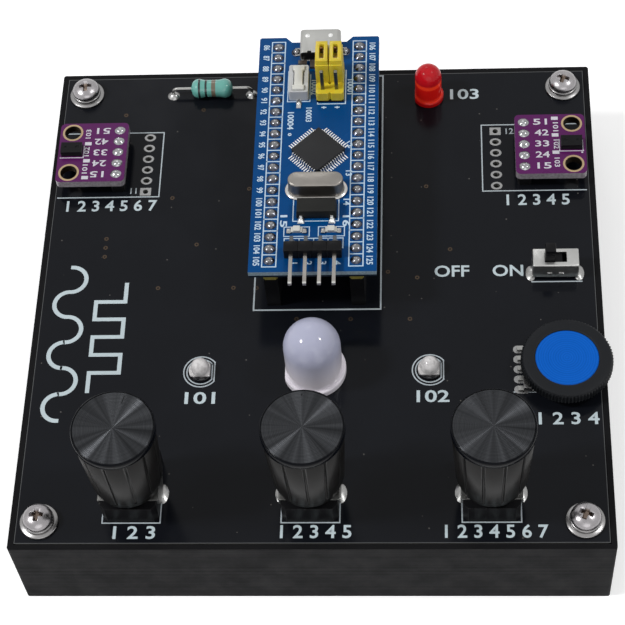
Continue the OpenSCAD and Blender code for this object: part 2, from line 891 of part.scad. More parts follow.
module clear_lamps() {
    color("#d8d8da")
    for (p = small_lamps) translate([p[0], p[1], top_z])
        lamp(small_lamp_d, small_lamp_h, small_lamp_d + 1, 0.9, 1);
}

// Copies its child at every lamp lead
module at_lamp_leads() {
    for (i = [0 : 3]) translate([big_lamp[0] + (i - 1.5) * 2.2, big_lamp[1], 0]) children();
    for (side = [-1, 1]) {
        translate([red_lamp_xy[0] + side * pitch / 2, red_lamp_xy[1], 0]) children();
        for (p = small_lamps) translate([p[0] + side * 1.1, p[1], 0]) children();
    }
}

module lamp_leads() {
    color("#c6c8ca")
    at_lamp_leads() pin(panel_z - tail, top_z, 0.5);
}

// ---- Potentiometers and knobs ----

module pot_bodies() {
    body_h = pot_h - sheet_t;
    color("#202022")
    at_pots()
        difference() {
            union() {
                translate([-pot_w / 2, -pot_front, 0]) cube([pot_w, pot_front + pot_back, body_h]);
                cylinder(h = pot_h + neck_h, d = neck_d);
            }
            translate([0, 0, shaft_foot - top_z - part_gap]) cylinder(h = 20, d = shaft_d + 2 * run_fit);
            for (side = [-1, 1]) translate([side * pot_w / 2, -pot_front, -1])
                rotate(45) block([1.2, 1.2, 20]);
        }
}

// Bent sheet bracket: a plate over the body and a tapered wing with a lug on each side
module pot_brackets() {
    wing_x = lug_x;
    color("#c4c6c6")
    at_pots() {
        translate([0, 0, pot_h - sheet_t])
            difference() {
                translate([-wing_x - sheet_t / 2, -3.4, 0]) cube([2 * wing_x + sheet_t, 7.2, sheet_t]);
                translate([0, 0, -1]) cylinder(h = 3, d = neck_d + 2 * part_gap);
            }
        for (side = [-1, 1])
            translate([side * wing_x - sheet_t / 2, 0, 0]) rotate([90, 0, 90]) linear_extrude(sheet_t)
                polygon([[-3.4, pot_h], [-3.4, 3.6], [-1, 0], [-1, -panel_t - tail],
                         [1, -panel_t - tail], [1, 0], [3.8, 3.6], [3.8, pot_h]]);
    }
}

// Terminals of the potentiometers, the slide switch and the thumb wheel
module terminals() {
    color("#c6c8ca") {
        at_pots() for (i = [-1 : 1]) translate([i * 2.5, pot_back, 0]) {
            translate([-0.4, 0, 0.6]) cube([0.8, 0.75, 0.3]);
            translate([-0.4, 0.45, -panel_t - tail]) cube([0.8, 0.3, panel_t + tail + 0.9]);
        }
        for (i = [-1 : 1]) translate([switch_x + i * 2.5, switch_y, 0]) pin(panel_z - tail, top_z, 0.5);
        translate([contact_x, wheel_y, top_z]) along_row(5, contact_pitch) {
            translate([-0.15, -0.4, 0.35]) cube([wheel_x - 7.5 - contact_x + 0.15, 0.8, 0.25]);
            translate([-0.15, -0.4, -panel_t - tail]) cube([0.25, 0.8, panel_t + tail + 0.6]);
        }
    }
}

// Tapered knob with upright grooves, a bevelled rim and a seat for the top disc
module knob(i) {
    r_rim = knob_top_d / 2;
    r_top = r_rim - 0.15;
    r_foot = knob_foot_d / 2;
    body_h = knob_h - knob_rim;
    lean = atan((r_top - r_foot) / body_h);
    collar = 1.6;
    collar_r = r_foot - 0.4;
    groove_w = 0.3;
    groove_depth = 0.35;
    color("#1f1f21")
    translate([pot_x[i], pot_y, knob_z])
        difference() {
            union() {
                cylinder(h = collar, r = collar_r);
                translate([0, 0, collar - 0.4]) cylinder(h = 0.6, r1 = collar_r - 0.1, r2 = r_foot);
                translate([0, 0, collar + 0.1]) cylinder(h = body_h - collar - 0.5, r1 = r_foot, r2 = r_top);
                translate([0, 0, body_h - 0.5]) cylinder(h = 0.6, r = r_top - 0.35);
                translate([0, 0, body_h]) cylinder(h = knob_rim - knob_bevel, r = r_rim);
                translate([0, 0, knob_h - knob_bevel])
                    cylinder(h = knob_bevel, r1 = r_rim, r2 = r_rim - knob_bevel);
            }
            translate([0, 0, knob_h - disc_t]) cylinder(h = disc_t + 1, r = disc_r + seat_fit);
            translate([0, 0, -1]) cylinder(h = shaft_top - knob_z + 1 + part_gap, d = shaft_d + 2 * seat_fit);
            translate([0, 0, -1]) cylinder(h = 3, d = neck_d + 1);
            for (g = [0 : knob_grooves - 1]) rotate(groove_at[i] - 90 + g * 360 / knob_grooves)
                translate([r_foot, 0, collar]) rotate([0, lean, 0])
                    block([2 * groove_depth, groove_w, body_h - collar - 0.4]);
        }
}

module left_knob() knob(0);
module middle_knob() knob(1);
module right_knob() knob(2);

// Spun metal disc that closes the knob's top
module knob_disc(i) {
    color("#3a3c40")
    translate([pot_x[i], pot_y, knob_top - disc_t])
        difference() {
            cylinder(h = disc_t, r = disc_r);
            translate([0, 0, disc_t - 0.05]) cylinder(h = 1, d1 = 0.5, d2 = 2.5);
        }
}

module left_knob_disc() knob_disc(0);
module middle_knob_disc() knob_disc(1);
module right_knob_disc() knob_disc(2);

module pot_shaft(i) {
    color("#b8babc")
    translate([pot_x[i], pot_y, 0]) {
        translate([0, 0, shaft_foot]) cylinder(h = shaft_top - shaft_foot - 0.5, d = shaft_d);
        translate([0, 0, shaft_top - 0.5]) cylinder(h = 0.5, d1 = shaft_d, d2 = shaft_d - 1);
    }
}

module left_shaft() pot_shaft(0);
module middle_shaft() pot_shaft(1);
module right_shaft() pot_shaft(2);

// ---- Slide switch ----

module switch_base() {
    color("#1c1c1e")
    translate([switch_x, switch_y, top_z])
        difference() {
            block([switch_l - 2 * sheet_t - 2 * seat_fit, switch_d - 2 * sheet_t - 2 * seat_fit,
                   switch_h - sheet_t]);
            translate([0, 0, foot_z - part_gap])
                block([foot_l + slider_travel + 2 * part_gap, slot_w + 2 * run_fit, switch_h]);
        }
}

// Folded metal cover: top plate with the slot, long sides with dimples, and ends with solder tabs
module switch_shell() {
    color("#c8cac8")
    translate([switch_x, switch_y, top_z]) {
        translate([0, 0, switch_h - sheet_t])
            difference() {
                block([switch_l, switch_d, sheet_t]);
                translate([0, 0, -1]) block([slot_l, slot_w, 3]);
            }
        for (side = [-1, 1]) translate([0, side * (switch_d - sheet_t) / 2, 0.5]) {
            block([switch_l, sheet_t, switch_h - 0.5]);
            for (x = [-1, 1]) translate([x * 1.05, side * 0.05, 1.7]) rotate([90, 0, 0])
                cylinder(h = sheet_t + 0.1, d = 0.8, center = true);
        }
        for (side = [-1, 1]) translate([side * (switch_l - sheet_t) / 2, 0, 0]) {
            block([sheet_t, switch_d, switch_h]);
            translate([0, 0, -panel_t - tail]) block([sheet_t, 1.4, panel_t + tail + 1]);
        }
    }
}

module switch_slider() {
    color("#141416")
    translate([switch_x + slider_rest, switch_y, top_z]) {
        translate([0, 0, foot_z]) block([foot_l, slot_w, foot_h]);
        block_z = foot_z + foot_h;
        translate([0, 0, block_z]) block([slider_w, slot_w - 0.3, switch_h + slider_h - block_z]);
    }
}

// ---- Thumb wheel ----

module wheel_plate() {
    left = wheel_x - 7.5;
    color("#c4c6c6")
    translate([left, wheel_y, top_z]) {
        linear_extrude(wheel_plate_t)
            polygon([[0, -4.6], [edge - left - 0.6, -4.6], [edge - left - 0.6, 5], [1.1, 5], [0, 3.1]]);
        translate([0, -4.6, 0]) cube([1.4, 0.8, 1.5]);
        translate([0.5, 3, 0]) cube([1.4, 0.8, 1.5]);
    }
}

// Carriage that slides on the plate and carries the axle
module wheel_carriage() {
    color("#1c1c1e")
    translate([wheel_x, wheel_y, top_z + wheel_plate_t + seat_fit]) {
        cylinder(h = wheel_top - wheel_t - wheel_plate_t - seat_fit - part_gap, d = 8.5);
        cylinder(h = wheel_top - disc_recess - wheel_plate_t - seat_fit - part_gap, d = axle_d);
    }
}

// Wheel outline with triangular knurls, computed around the rim
module wheel_outline() {
    n = wheel_knurls;
    r = wheel_d / 2;
    polygon([for (i = [0 : 2 * n - 1]) let (a = i * 180 / n, q = i % 2 == 0 ? r : r - knurl_depth)
        [q * cos(a), q * sin(a)]]);
}

module wheel_ring() {
    r = wheel_d / 2;
    color("#1e1e20")
    translate([wheel_x, wheel_y, wheel_z])
        difference() {
            union() {
                linear_extrude(wheel_t - 0.35) wheel_outline();
                translate([0, 0, wheel_t - 0.4]) cylinder(h = 0.2, r = r - knurl_depth - 0.02);
                translate([0, 0, wheel_t - 0.2]) cylinder(h = 0.2, r1 = r - knurl_depth - 0.02, r2 = r - 0.55);
            }
            translate([0, 0, wheel_t - disc_recess]) cylinder(h = 3, d = wheel_disc_d + 2 * seat_fit);
            translate([0, 0, -1]) cylinder(h = wheel_t + 2, d = axle_d + 2 * run_fit);
        }
}

module wheel_disc() {
    color("#1560c0")
    translate([wheel_x, wheel_y, wheel_z + wheel_t - disc_recess]) cylinder(h = disc_recess - 0.1, d = wheel_disc_d);
}

// ---- Audio output ----

module audio_jack() {
    rear = case_w / 2;
    color("#1b1b1d")
    difference() {
        union() {
            translate([jack_x, rear - wall - jack_body[1] / 2, panel_z - jack_body[2]]) block(jack_body);
            translate([jack_x, rear, jack_z]) rotate([90, 0, 0]) cylinder(h = wall + 1, d = jack_nose_d);
        }
        translate([jack_x, rear + 1, jack_z]) rotate([90, 0, 0]) cylinder(h = jack_depth + 2, d = jack_bore_d);
    }
}

module audio_chip() {
    color("#222326")
    translate([converter[0] - 1.95, converter[1] - 5, panel_z - 1.5]) cube([3.9, 10, 1.4]);
}

case();
threaded_inserts();
panel_board();
corner_screws();
spring_washers();
flat_washers();
header_sockets();
socket_contacts();
pin_strips();
strip_pins();
controller_board();
usb_shell();
usb_tongue();
reset_switch();
reset_button();
boot_header();
boot_pins();
left_jumper();
right_jumper();
processor();
chip_leads();
crystal_can();
clock_crystal();
board_lamps();
debug_header();
debug_pins();
chip_parts();
left_sensor_board();
right_sensor_board();
sensor_chips();
sensor_headers();
sensor_pins();
inductor();
inductor_leads();
red_lamp();
colour_lamp();
clear_lamps();
lamp_leads();
pot_bodies();
pot_brackets();
terminals();
left_knob();
middle_knob();
right_knob();
left_knob_disc();
middle_knob_disc();
right_knob_disc();
left_shaft();
middle_shaft();
right_shaft();
switch_base();
switch_shell();
switch_slider();
wheel_plate();
wheel_carriage();
wheel_ring();
wheel_disc();
audio_jack();
audio_chip();
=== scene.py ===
"""Looks of an optical theremin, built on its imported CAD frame.

The lid board, the plug-in boards and the hidden pieces keep their CAD nodes and get a finish.
Knobs, discs, lamps, caps, screws and other small pieces are modelled again with their soft edges,
and the white print, the pads and the solder are added. Lengths in the tables are in millimetres
in the frame of the CAD part: +X right, +Y to the rear, +Z up.
"""

import math

import bmesh
import bpy
from bpy.props import BoolProperty, FloatProperty, FloatVectorProperty
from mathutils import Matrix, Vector


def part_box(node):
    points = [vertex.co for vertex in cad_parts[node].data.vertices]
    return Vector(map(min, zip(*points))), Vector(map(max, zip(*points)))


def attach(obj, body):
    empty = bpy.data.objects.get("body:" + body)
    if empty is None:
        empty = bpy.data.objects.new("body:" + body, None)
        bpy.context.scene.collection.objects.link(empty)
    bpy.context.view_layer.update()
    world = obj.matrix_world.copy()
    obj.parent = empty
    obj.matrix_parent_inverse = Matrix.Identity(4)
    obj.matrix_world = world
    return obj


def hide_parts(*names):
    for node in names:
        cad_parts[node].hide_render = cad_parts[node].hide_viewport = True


bl_info = {
    "name": "Optical theremin",
    "version": (1, 0, 0),
    "blender": (4, 5, 0),
    "location": "3D View > Sidebar > Theremin",
    "description": "Dresses the CAD frame of an optical theremin with finishes, print, solder and small pieces",
    "category": "Object",
}

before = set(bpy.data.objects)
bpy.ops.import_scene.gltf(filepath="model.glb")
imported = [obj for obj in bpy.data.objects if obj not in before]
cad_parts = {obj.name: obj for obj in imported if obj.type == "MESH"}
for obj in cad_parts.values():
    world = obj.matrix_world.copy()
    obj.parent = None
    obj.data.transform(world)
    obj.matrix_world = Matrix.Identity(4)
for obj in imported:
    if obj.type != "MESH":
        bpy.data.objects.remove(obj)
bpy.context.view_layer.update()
ROOT = "root"
MM = 0.001
X, Y, Z = range(3)


def low(node, axis):
    """Lowest coordinate of a CAD node along an axis, in millimetres."""
    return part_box(node)[0][axis] / MM


def high(node, axis):
    """Highest coordinate of a CAD node along an axis, in millimetres."""
    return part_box(node)[1][axis] / MM


def middle(node, axis):
    """Middle of a CAD node along an axis, in millimetres."""
    return (low(node, axis) + high(node, axis)) / 2


def place_of(node):
    """Middle of a CAD node seen from above, (x, y) in millimetres."""
    return middle(node, X), middle(node, Y)


def extent(node, axis):
    """Length of a CAD node along an axis, in millimetres."""
    return high(node, axis) - low(node, axis)


def corners(node):
    """Lowest and highest corner of a CAD node, in millimetres."""
    return [Vector(corner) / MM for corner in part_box(node)]


TOP = high("panel_board", Z)
DECK = high("controller_board", Z)
SENSOR_LEVEL = high("right_sensor_board", Z)
PIN_PITCH = 2.54
# distance of each corner screw from the middle, along X and along Y
SCREW_REACH = 46.0
# radius at which a turned piece closes in a point
TIP = 0.02


# ---- Modelling helpers ----


def point(x, y, z):
    """A point given in millimetres, in metres."""
    return Vector((x, y, z)) * MM


def clear_selection():
    """Object mode with nothing selected."""
    if bpy.context.mode != "OBJECT":
        bpy.ops.object.mode_set(mode="OBJECT")
    bpy.ops.object.select_all(action="DESELECT")


def pick(obj):
    """Selects one object and makes it the active one."""
    clear_selection()
    obj.select_set(True)
    bpy.context.view_layer.objects.active = obj


def edit(obj):
    """Opens an object in edit mode with all of its mesh selected."""
    pick(obj)
    bpy.ops.object.mode_set(mode="EDIT")
    bpy.ops.mesh.select_mode(type="FACE")
    bpy.ops.mesh.select_all(action="SELECT")


def leave_edit():
    bpy.ops.object.mode_set(mode="OBJECT")


def move_points(obj, move):
    """Calls move with the place (m) of each point of a mesh, which it may change."""
    edit(obj)
    mesh = bmesh.from_edit_mesh(obj.data)
    for vert in mesh.verts:
        move(vert.co)
    bmesh.update_edit_mesh(obj.data)
    leave_edit()


def drawn_in(value, centre, share):
    """A coordinate (m) drawn in towards a centre (mm), to a share of its distance."""
    return centre * MM + (value - centre * MM) * share


def bevel(obj, width, segments=2, angle=40):
    """Rounds the edges sharper than the angle, as an applied modifier."""
    pick(obj)
    modifier = obj.modifiers.new("Bevel", "BEVEL")
    modifier.width = width * MM
    modifier.segments = segments
    modifier.limit_method = "ANGLE"
    modifier.angle_limit = math.radians(angle)
    modifier.harden_normals = False
    bpy.ops.object.modifier_apply(modifier=modifier.name)


def soften(obj, angle=35):
    """Shades smooth up to an angle."""
    pick(obj)
    bpy.ops.object.shade_smooth_by_angle(angle=math.radians(angle))


def apply_place(obj):
    """Puts the object's place, turn and scale into its mesh."""
    pick(obj)
    bpy.ops.object.transform_apply(location=True, rotation=True, scale=True)


def block(name, centre, size, edge=0.0, segments=2, turn=0.0):
    """A box with rounded edges; centre and size in millimetres, turn in degrees about Z."""
    clear_selection()
    bpy.ops.mesh.primitive_cube_add(size=1, location=point(*centre))
    obj = bpy.context.object
    obj.name = name
    obj.rotation_euler.z = math.radians(turn)
    obj.scale = Vector(size) * MM
    apply_place(obj)
    if edge:
        bevel(obj, edge, segments)
    return obj


def turned(name, place, stations, sides=64, closed=False):
    """A round piece on an upright axis at (x, y), drawn through (radius, height) stations from
    the foot up. A closed one ends where it starts, as a ring does."""
    clear_selection()
    x, y = place
    radius, height = stations[0]
    bpy.ops.mesh.primitive_circle_add(
        vertices=sides, radius=radius * MM, fill_type="NOTHING" if closed else "NGON",
        location=point(x, y, height)
    )
    obj = bpy.context.object
    obj.name = name
    bpy.ops.object.mode_set(mode="EDIT")
    bpy.ops.mesh.select_mode(type="VERT")
    bpy.ops.mesh.select_all(action="SELECT")
    for next_radius, next_height in stations[1:]:
        rise = (0, 0, (next_height - height) * MM)
        bpy.ops.mesh.extrude_region_move(TRANSFORM_OT_translate={"value": rise})
        spread = next_radius / radius
        bpy.ops.transform.resize(value=(spread, spread, 1), center_override=point(x, y, next_height))
        radius, height = next_radius, next_height
    if not closed:
        if radius < 0.1:
            bpy.ops.mesh.merge(type="CENTER")
        else:
            bpy.ops.mesh.edge_face_add()
    bpy.ops.mesh.select_all(action="SELECT")
    if closed:
        bpy.ops.mesh.remove_doubles(threshold=1e-7)
    bpy.ops.mesh.normals_make_consistent(inside=False)
    leave_edit()
    apply_place(obj)
    return obj


def dome(radius, foot, centre, steps):
    """Stations of a round-ended post: straight from foot to centre, then a half ball."""
    found = [(radius, foot), (radius, centre)]
    for i in range(1, steps + 1):
        angle = math.radians(90) * i / steps
        found.append((max(TIP, radius * math.cos(angle)), centre + radius * math.sin(angle)))
    return found


def join(name, objects):
    """Joins objects into the first one."""
    clear_selection()
    for obj in objects:
        obj.select_set(True)
    bpy.context.view_layer.objects.active = objects[0]
    if len(objects) > 1:
        bpy.ops.object.join()
    obj = bpy.context.object
    obj.name = name
    return obj


def copies(obj, moves, turns=None):
    """Copies of a finished piece, each with its own mesh, moved by (dx, dy, dz) mm and turned
    about its own middle; the piece itself is used up."""
    made = []
    for i, move in enumerate(moves):
        twin = obj.copy()
        twin.data = obj.data.copy()
        bpy.context.scene.collection.objects.link(twin)
        twin.location = point(*move)
        if turns:
            twin.rotation_euler.z = math.radians(turns[i])
        made.append(twin)
    clear_selection()
    for twin in made:
        twin.select_set(True)
    bpy.context.view_layer.objects.active = made[0]
    bpy.ops.object.transform_apply(location=True, rotation=True, scale=True)
    bpy.data.objects.remove(obj)
    return made


def finish_piece(obj, name, material, body=ROOT, replaced=()):
    """Names a piece, gives it its finish and lets it ride on its body."""
    obj.name = name
    apply_place(obj)
    obj.data.materials.clear()
    obj.data.materials.append(finish(material))
    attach(obj, body)
    if replaced:
        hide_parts(*replaced)
    return obj


def gather(name, parts, material, angle=None, body=ROOT, replaced=()):
    """Joins parts into one finished piece, shaded smooth up to an angle where one is given."""
    piece = join(name, parts)
    if angle is not None:
        soften(piece, angle)
    return finish_piece(piece, name, material, body, replaced)


class Print:
    """White print and other flat marks, gathered as bars and built into one mesh."""

    def __init__(self, name, level, thick=0.03):
        self.name = name
        self.level = level
        self.thick = thick
        self.bars = []

    def bar(self, start, end, width):
        """A straight line from start to end, (x, y) in mm."""
        self.bars.append((start, end, width))

    def path(self, points, width):
        """Straight lines from each point to the next."""
        for start, end in zip(points, points[1:]):
            self.bar(start, end, width)

    def frame(self, x0, y0, x1, y1, width):
        """The outline of a box."""
        self.path([(x0, y0), (x1, y0), (x1, y1), (x0, y1), (x0, y0)], width)

    def arc(self, centre, radius, width, start=0.0, end=360.0, steps=40):
        """A round line, angles in degrees from +X."""
        angles = [math.radians(start + (end - start) * i / steps) for i in range(steps + 1)]
        ring = [(centre[0] + radius * math.cos(a), centre[1] + radius * math.sin(a)) for a in angles]
        self.path(ring, width)

    def close(self):
        """Builds the bars; neighbours differ a little in height, so that no two faces coincide."""
        clear_selection()
        for i, ((x0, y0), (x1, y1), width) in enumerate(self.bars):
            thick = self.thick + 0.001 * (i % 5)
            size = Vector((math.hypot(x1 - x0, y1 - y0) + width, width, thick)) * MM
            place = point((x0 + x1) / 2, (y0 + y1) / 2, self.level + thick / 2)
            turn = (0, 0, math.atan2(y1 - y0, x1 - x0))
            bpy.ops.mesh.primitive_cube_add(size=1, location=place, rotation=turn, scale=size)
            if i == 0:
                apply_place(bpy.context.object)
                bpy.ops.object.mode_set(mode="EDIT")
        leave_edit()
        return bpy.context.object


def lettering(text, centre, height, level, width=None, weight=0.012, turn=0.0, thick=0.03):
    """Digits as flat print: middle (x, y), letter height and, if given, total width in mm."""
    clear_selection()
    bpy.ops.object.text_add(location=point(centre[0], centre[1], level))
    obj = bpy.context.object
    obj.data.body = text
    obj.data.align_x = "CENTER"
    obj.data.align_y = "CENTER"
    obj.data.size = height / 0.7 * MM
    obj.data.offset = weight * height / 0.7 * MM
    obj.data.extrude = thick * MM
    obj.data.resolution_u = 3
    bpy.context.view_layer.update()
    if width:
        obj.scale.x = width * MM / obj.dimensions.x
    obj.rotation_euler.z = math.radians(turn)
    bpy.ops.object.convert(target="MESH")
    apply_place(obj)
    return obj


# ---- Settings in the sidebar ----


def length(name, description, default):
    """A length property whose default is given in millimetres."""
    return FloatProperty(
        name=name, description=description, default=default * MM, min=0.0, unit="LENGTH", precision=5
    )


def colour(name, description, default):
    """A colour property, as linear RGB."""
    return FloatVectorProperty(
        name=name, description=description, default=default, size=3, min=0.0, max=1.0, subtype="COLOR"
    )


class ThereminSizes(bpy.types.PropertyGroup):
    """Sizes of the pieces that the CAD frame does not hold."""

    line: length("Line width", "Width of the thin printed outlines", 0.22)
    wave_stroke: length("Wave stroke", "Width of the two large printed waves", 0.75)
    printed_layer: length("Printed layer", "Height of one layer of the printed case", 0.32)
    cap_edge: length("Cap edge", "Rounding of the jumper caps' edges", 0.18)


class ThereminColours(bpy.types.PropertyGroup):
    """Colours of the main finishes."""

    lid_board: colour("Lid board", "Solder mask of the lid board", (0.0065, 0.0075, 0.0105))
    controller_board: colour("Controller board", "Solder mask of the controller board", (0.0014, 0.064, 0.23))
    sensor_board: colour("Sensor boards", "Solder mask of the sensor boards", (0.105, 0.011, 0.105))
    case: colour("Case", "Printed plastic of the case", (0.0052, 0.0052, 0.006))
    knob: colour("Knobs", "Plastic of the knobs and the thumb wheel", (0.0088, 0.0083, 0.0082))
    knob_disc: colour("Knob discs", "Anodised discs of the knobs", (0.042, 0.044, 0.048))
    wheel_disc: colour("Wheel disc", "Disc of the thumb wheel", (0.0008, 0.102, 0.5))
    jumpers: colour("Jumpers", "Jumper caps and pin strips", (0.75, 0.58, 0.03))
    inductor: colour("Inductor", "Lacquer of the inductor", (0.15, 0.47, 0.41))
    milky_lamp: colour("Milky lamp", "Body of the large lamp", (0.4, 0.41, 0.53))
    white_print: colour("Large print", "Numbers on the lid board", (0.58, 0.68, 0.72))
    fine_print: colour("Fine print", "Thin outlines and small numbers", (0.5, 0.56, 0.6))


class ThereminStage(bpy.types.PropertyGroup):
    """Light and camera."""

    lens: FloatProperty(name="Focal length", description="Lens of the camera", default=111.29, unit="CAMERA")
    lamp_power: FloatProperty(
        name="Lamp power", description="Power of the main lamp", default=4.5, unit="POWER"
    )
    fill: FloatProperty(name="Fill light", description="Even light from all round", default=0.28, min=0.0)
    white_floor: BoolProperty(name="White floor", description="Let the floor show as white paper", default=True)


def sizes():
    return bpy.context.scene.theremin_sizes


def hues():
    return bpy.context.scene.theremin_colours


def stage_settings():
    return bpy.context.scene.theremin_stage


# ---- Finishes ----


def node_group(name, inputs, outputs):
    """A new shader node group with its input and output nodes."""
    tree = bpy.data.node_groups.new(name, "ShaderNodeTree")
    for label, default in inputs:
        socket = tree.interface.new_socket(name=label, in_out="INPUT", socket_type="NodeSocketFloat")
        socket.default_value = default
    for label, kind in outputs:
        tree.interface.new_socket(name=label, in_out="OUTPUT", socket_type=kind)
    return tree, tree.nodes.new("NodeGroupInput"), tree.nodes.new("NodeGroupOutput")


def add(tree, kind, values=None, **settings):
    """A node with its settings and the values of its named inputs."""
    made = tree.nodes.new(kind)
    for key, value in settings.items():
        setattr(made, key, value)
    for key, value in (values or {}).items():
        made.inputs[key].default_value = value
    return made


def sums(tree, operation, first, second=None):
    """A Math node; numbers and sockets may be mixed."""
    made = add(tree, "ShaderNodeMath", operation=operation)
    for i, value in enumerate((first, second)):
        if value is None:
            continue
        if isinstance(value, (int, float)):
            made.inputs[i].default_value = value
        else:
            tree.links.new(value, made.inputs[i])
    return made.outputs[0]


def surface_group():
    """Roughness that varies, fine bumps, rounded edges and a mask of the edges, which are lightened partly as
    wear and partly as a painted sheen.
    """
    tree, given, out = node_group(
        "Surface",
        [
            ("Patch Scale", 200.0),
            ("Rough Low", 0.3),
            ("Rough High", 0.5),
            ("Grain Scale", 3000.0),
            ("Grain Depth", 0.1),
            ("Edge Radius", 0.0001),
        ],
        [
            ("Roughness", "NodeSocketFloat"),
            ("Mottle", "NodeSocketFloat"),
            ("Edge", "NodeSocketFloat"),
            ("Normal", "NodeSocketVector"),
        ],
    )
    place = add(tree, "ShaderNodeTexCoord").outputs["Object"]
    patches = add(tree, "ShaderNodeTexNoise", {"Detail": 3.0, "Roughness": 0.6})
    grain = add(tree, "ShaderNodeTexNoise", {"Detail": 2.0})
    spread = add(tree, "ShaderNodeMapRange", {"From Min": 0.3, "From Max": 0.7})
    rounded = add(tree, "ShaderNodeBevel", samples=4)
    bump = add(tree, "ShaderNodeBump", {"Distance": 0.00005})
    plain = add(tree, "ShaderNodeNewGeometry").outputs["Normal"]
    dot = add(tree, "ShaderNodeVectorMath", operation="DOT_PRODUCT")
    links = tree.links
    links.new(place, patches.inputs["Vector"])
    links.new(place, grain.inputs["Vector"])
    links.new(given.outputs["Patch Scale"], patches.inputs["Scale"])
    links.new(given.outputs["Grain Scale"], grain.inputs["Scale"])
    links.new(patches.outputs[0], spread.inputs["Value"])
    links.new(given.outputs["Rough Low"], spread.inputs["To Min"])
    links.new(given.outputs["Rough High"], spread.inputs["To Max"])
    links.new(given.outputs["Edge Radius"], rounded.inputs["Radius"])
    links.new(rounded.outputs[0], bump.inputs["Normal"])
    links.new(grain.outputs[0], bump.inputs["Height"])
    links.new(given.outputs["Grain Depth"], bump.inputs["Strength"])
    links.new(plain, dot.inputs[0])
    links.new(rounded.outputs[0], dot.inputs[1])
    # edge mask: partly wear, partly a painted highlight along the edges
    wear_and_sheen = sums(tree, "MULTIPLY", sums(tree, "SUBTRACT", 1.0, dot.outputs["Value"]), 6.0)
    links.new(spread.outputs[0], out.inputs["Roughness"])
    links.new(patches.outputs[0], out.inputs["Mottle"])
    links.new(sums(tree, "MINIMUM", wear_and_sheen, 1.0), out.inputs["Edge"])
    links.new(bump.outputs[0], out.inputs["Normal"])
    return tree


def rings_group():
    """Fine rings round an upright axis, as a lathe leaves them, and a noise round it for wedges of painted
    reflection.
    """
    tree, given, out = node_group(
        "Turning rings",
        [("Centre X", 0.0), ("Centre Y", 0.0), ("Pitch", 0.0002), ("Unevenness", 0.5)],
        [("Height", "NodeSocketFloat"), ("Sweep", "NodeSocketFloat")],
    )
    split = add(tree, "ShaderNodeSeparateXYZ")
    tree.links.new(add(tree, "ShaderNodeTexCoord").outputs["Object"], split.inputs[0])
    across = sums(tree, "SUBTRACT", split.outputs["X"], given.outputs["Centre X"])
    along = sums(tree, "SUBTRACT", split.outputs["Y"], given.outputs["Centre Y"])
    squares = sums(tree, "ADD", sums(tree, "MULTIPLY", across, across), sums(tree, "MULTIPLY", along, along))
    radius = sums(tree, "SQRT", squares)
    steps = sums(tree, "DIVIDE", radius, given.outputs["Pitch"])
    wave = sums(tree, "SINE", sums(tree, "MULTIPLY", steps, 2 * math.pi))
    noise = add(tree, "ShaderNodeTexNoise", {"Scale": 0.7, "Detail": 2.0}, noise_dimensions="1D")
    tree.links.new(steps, noise.inputs["W"])
    uneven = sums(tree, "MULTIPLY", noise.outputs[0], given.outputs["Unevenness"])
    tree.links.new(sums(tree, "ADD", wave, sums(tree, "MULTIPLY", uneven, 4.0)), out.inputs["Height"])
    ray = add(tree, "ShaderNodeCombineXYZ")
    tree.links.new(sums(tree, "DIVIDE", across, radius), ray.inputs["X"])
    tree.links.new(sums(tree, "DIVIDE", along, radius), ray.inputs["Y"])
    tree.links.new(given.outputs["Centre X"], ray.inputs["Z"])
    round_noise = add(tree, "ShaderNodeTexNoise", {"Scale": 3.2, "Detail": 3.0, "Roughness": 0.6})
    tree.links.new(ray.outputs[0], round_noise.inputs["Vector"])
    tree.links.new(round_noise.outputs[0], out.inputs["Sweep"])
    return tree


def layers_group():
    """The level lines that a 3-D printer leaves on an upright wall."""
    tree, given, out = node_group(
        "Printed layers",
        [("Layer", 0.0003), ("Waviness", 0.25)],
        [("Height", "NodeSocketFloat"), ("Tone", "NodeSocketFloat")],
    )
    place = add(tree, "ShaderNodeTexCoord").outputs["Object"]
    split = add(tree, "ShaderNodeSeparateXYZ")
    noise = add(tree, "ShaderNodeTexNoise", {"Scale": 60.0, "Detail": 2.0})
    tree.links.new(place, split.inputs[0])
    tree.links.new(place, noise.inputs["Vector"])
    steps = sums(tree, "DIVIDE", split.outputs["Z"], given.outputs["Layer"])
    wavy = sums(tree, "ADD", steps, sums(tree, "MULTIPLY", noise.outputs[0], given.outputs["Waviness"]))
    wave = sums(tree, "SINE", sums(tree, "MULTIPLY", wavy, 2 * math.pi))
    lines = add(tree, "ShaderNodeTexNoise", {"Scale": 0.45, "Detail": 3.0}, noise_dimensions="1D")
    tree.links.new(steps, lines.inputs["W"])
    tree.links.new(wave, out.inputs["Height"])
    tree.links.new(lines.outputs[0], out.inputs["Tone"])
    return tree


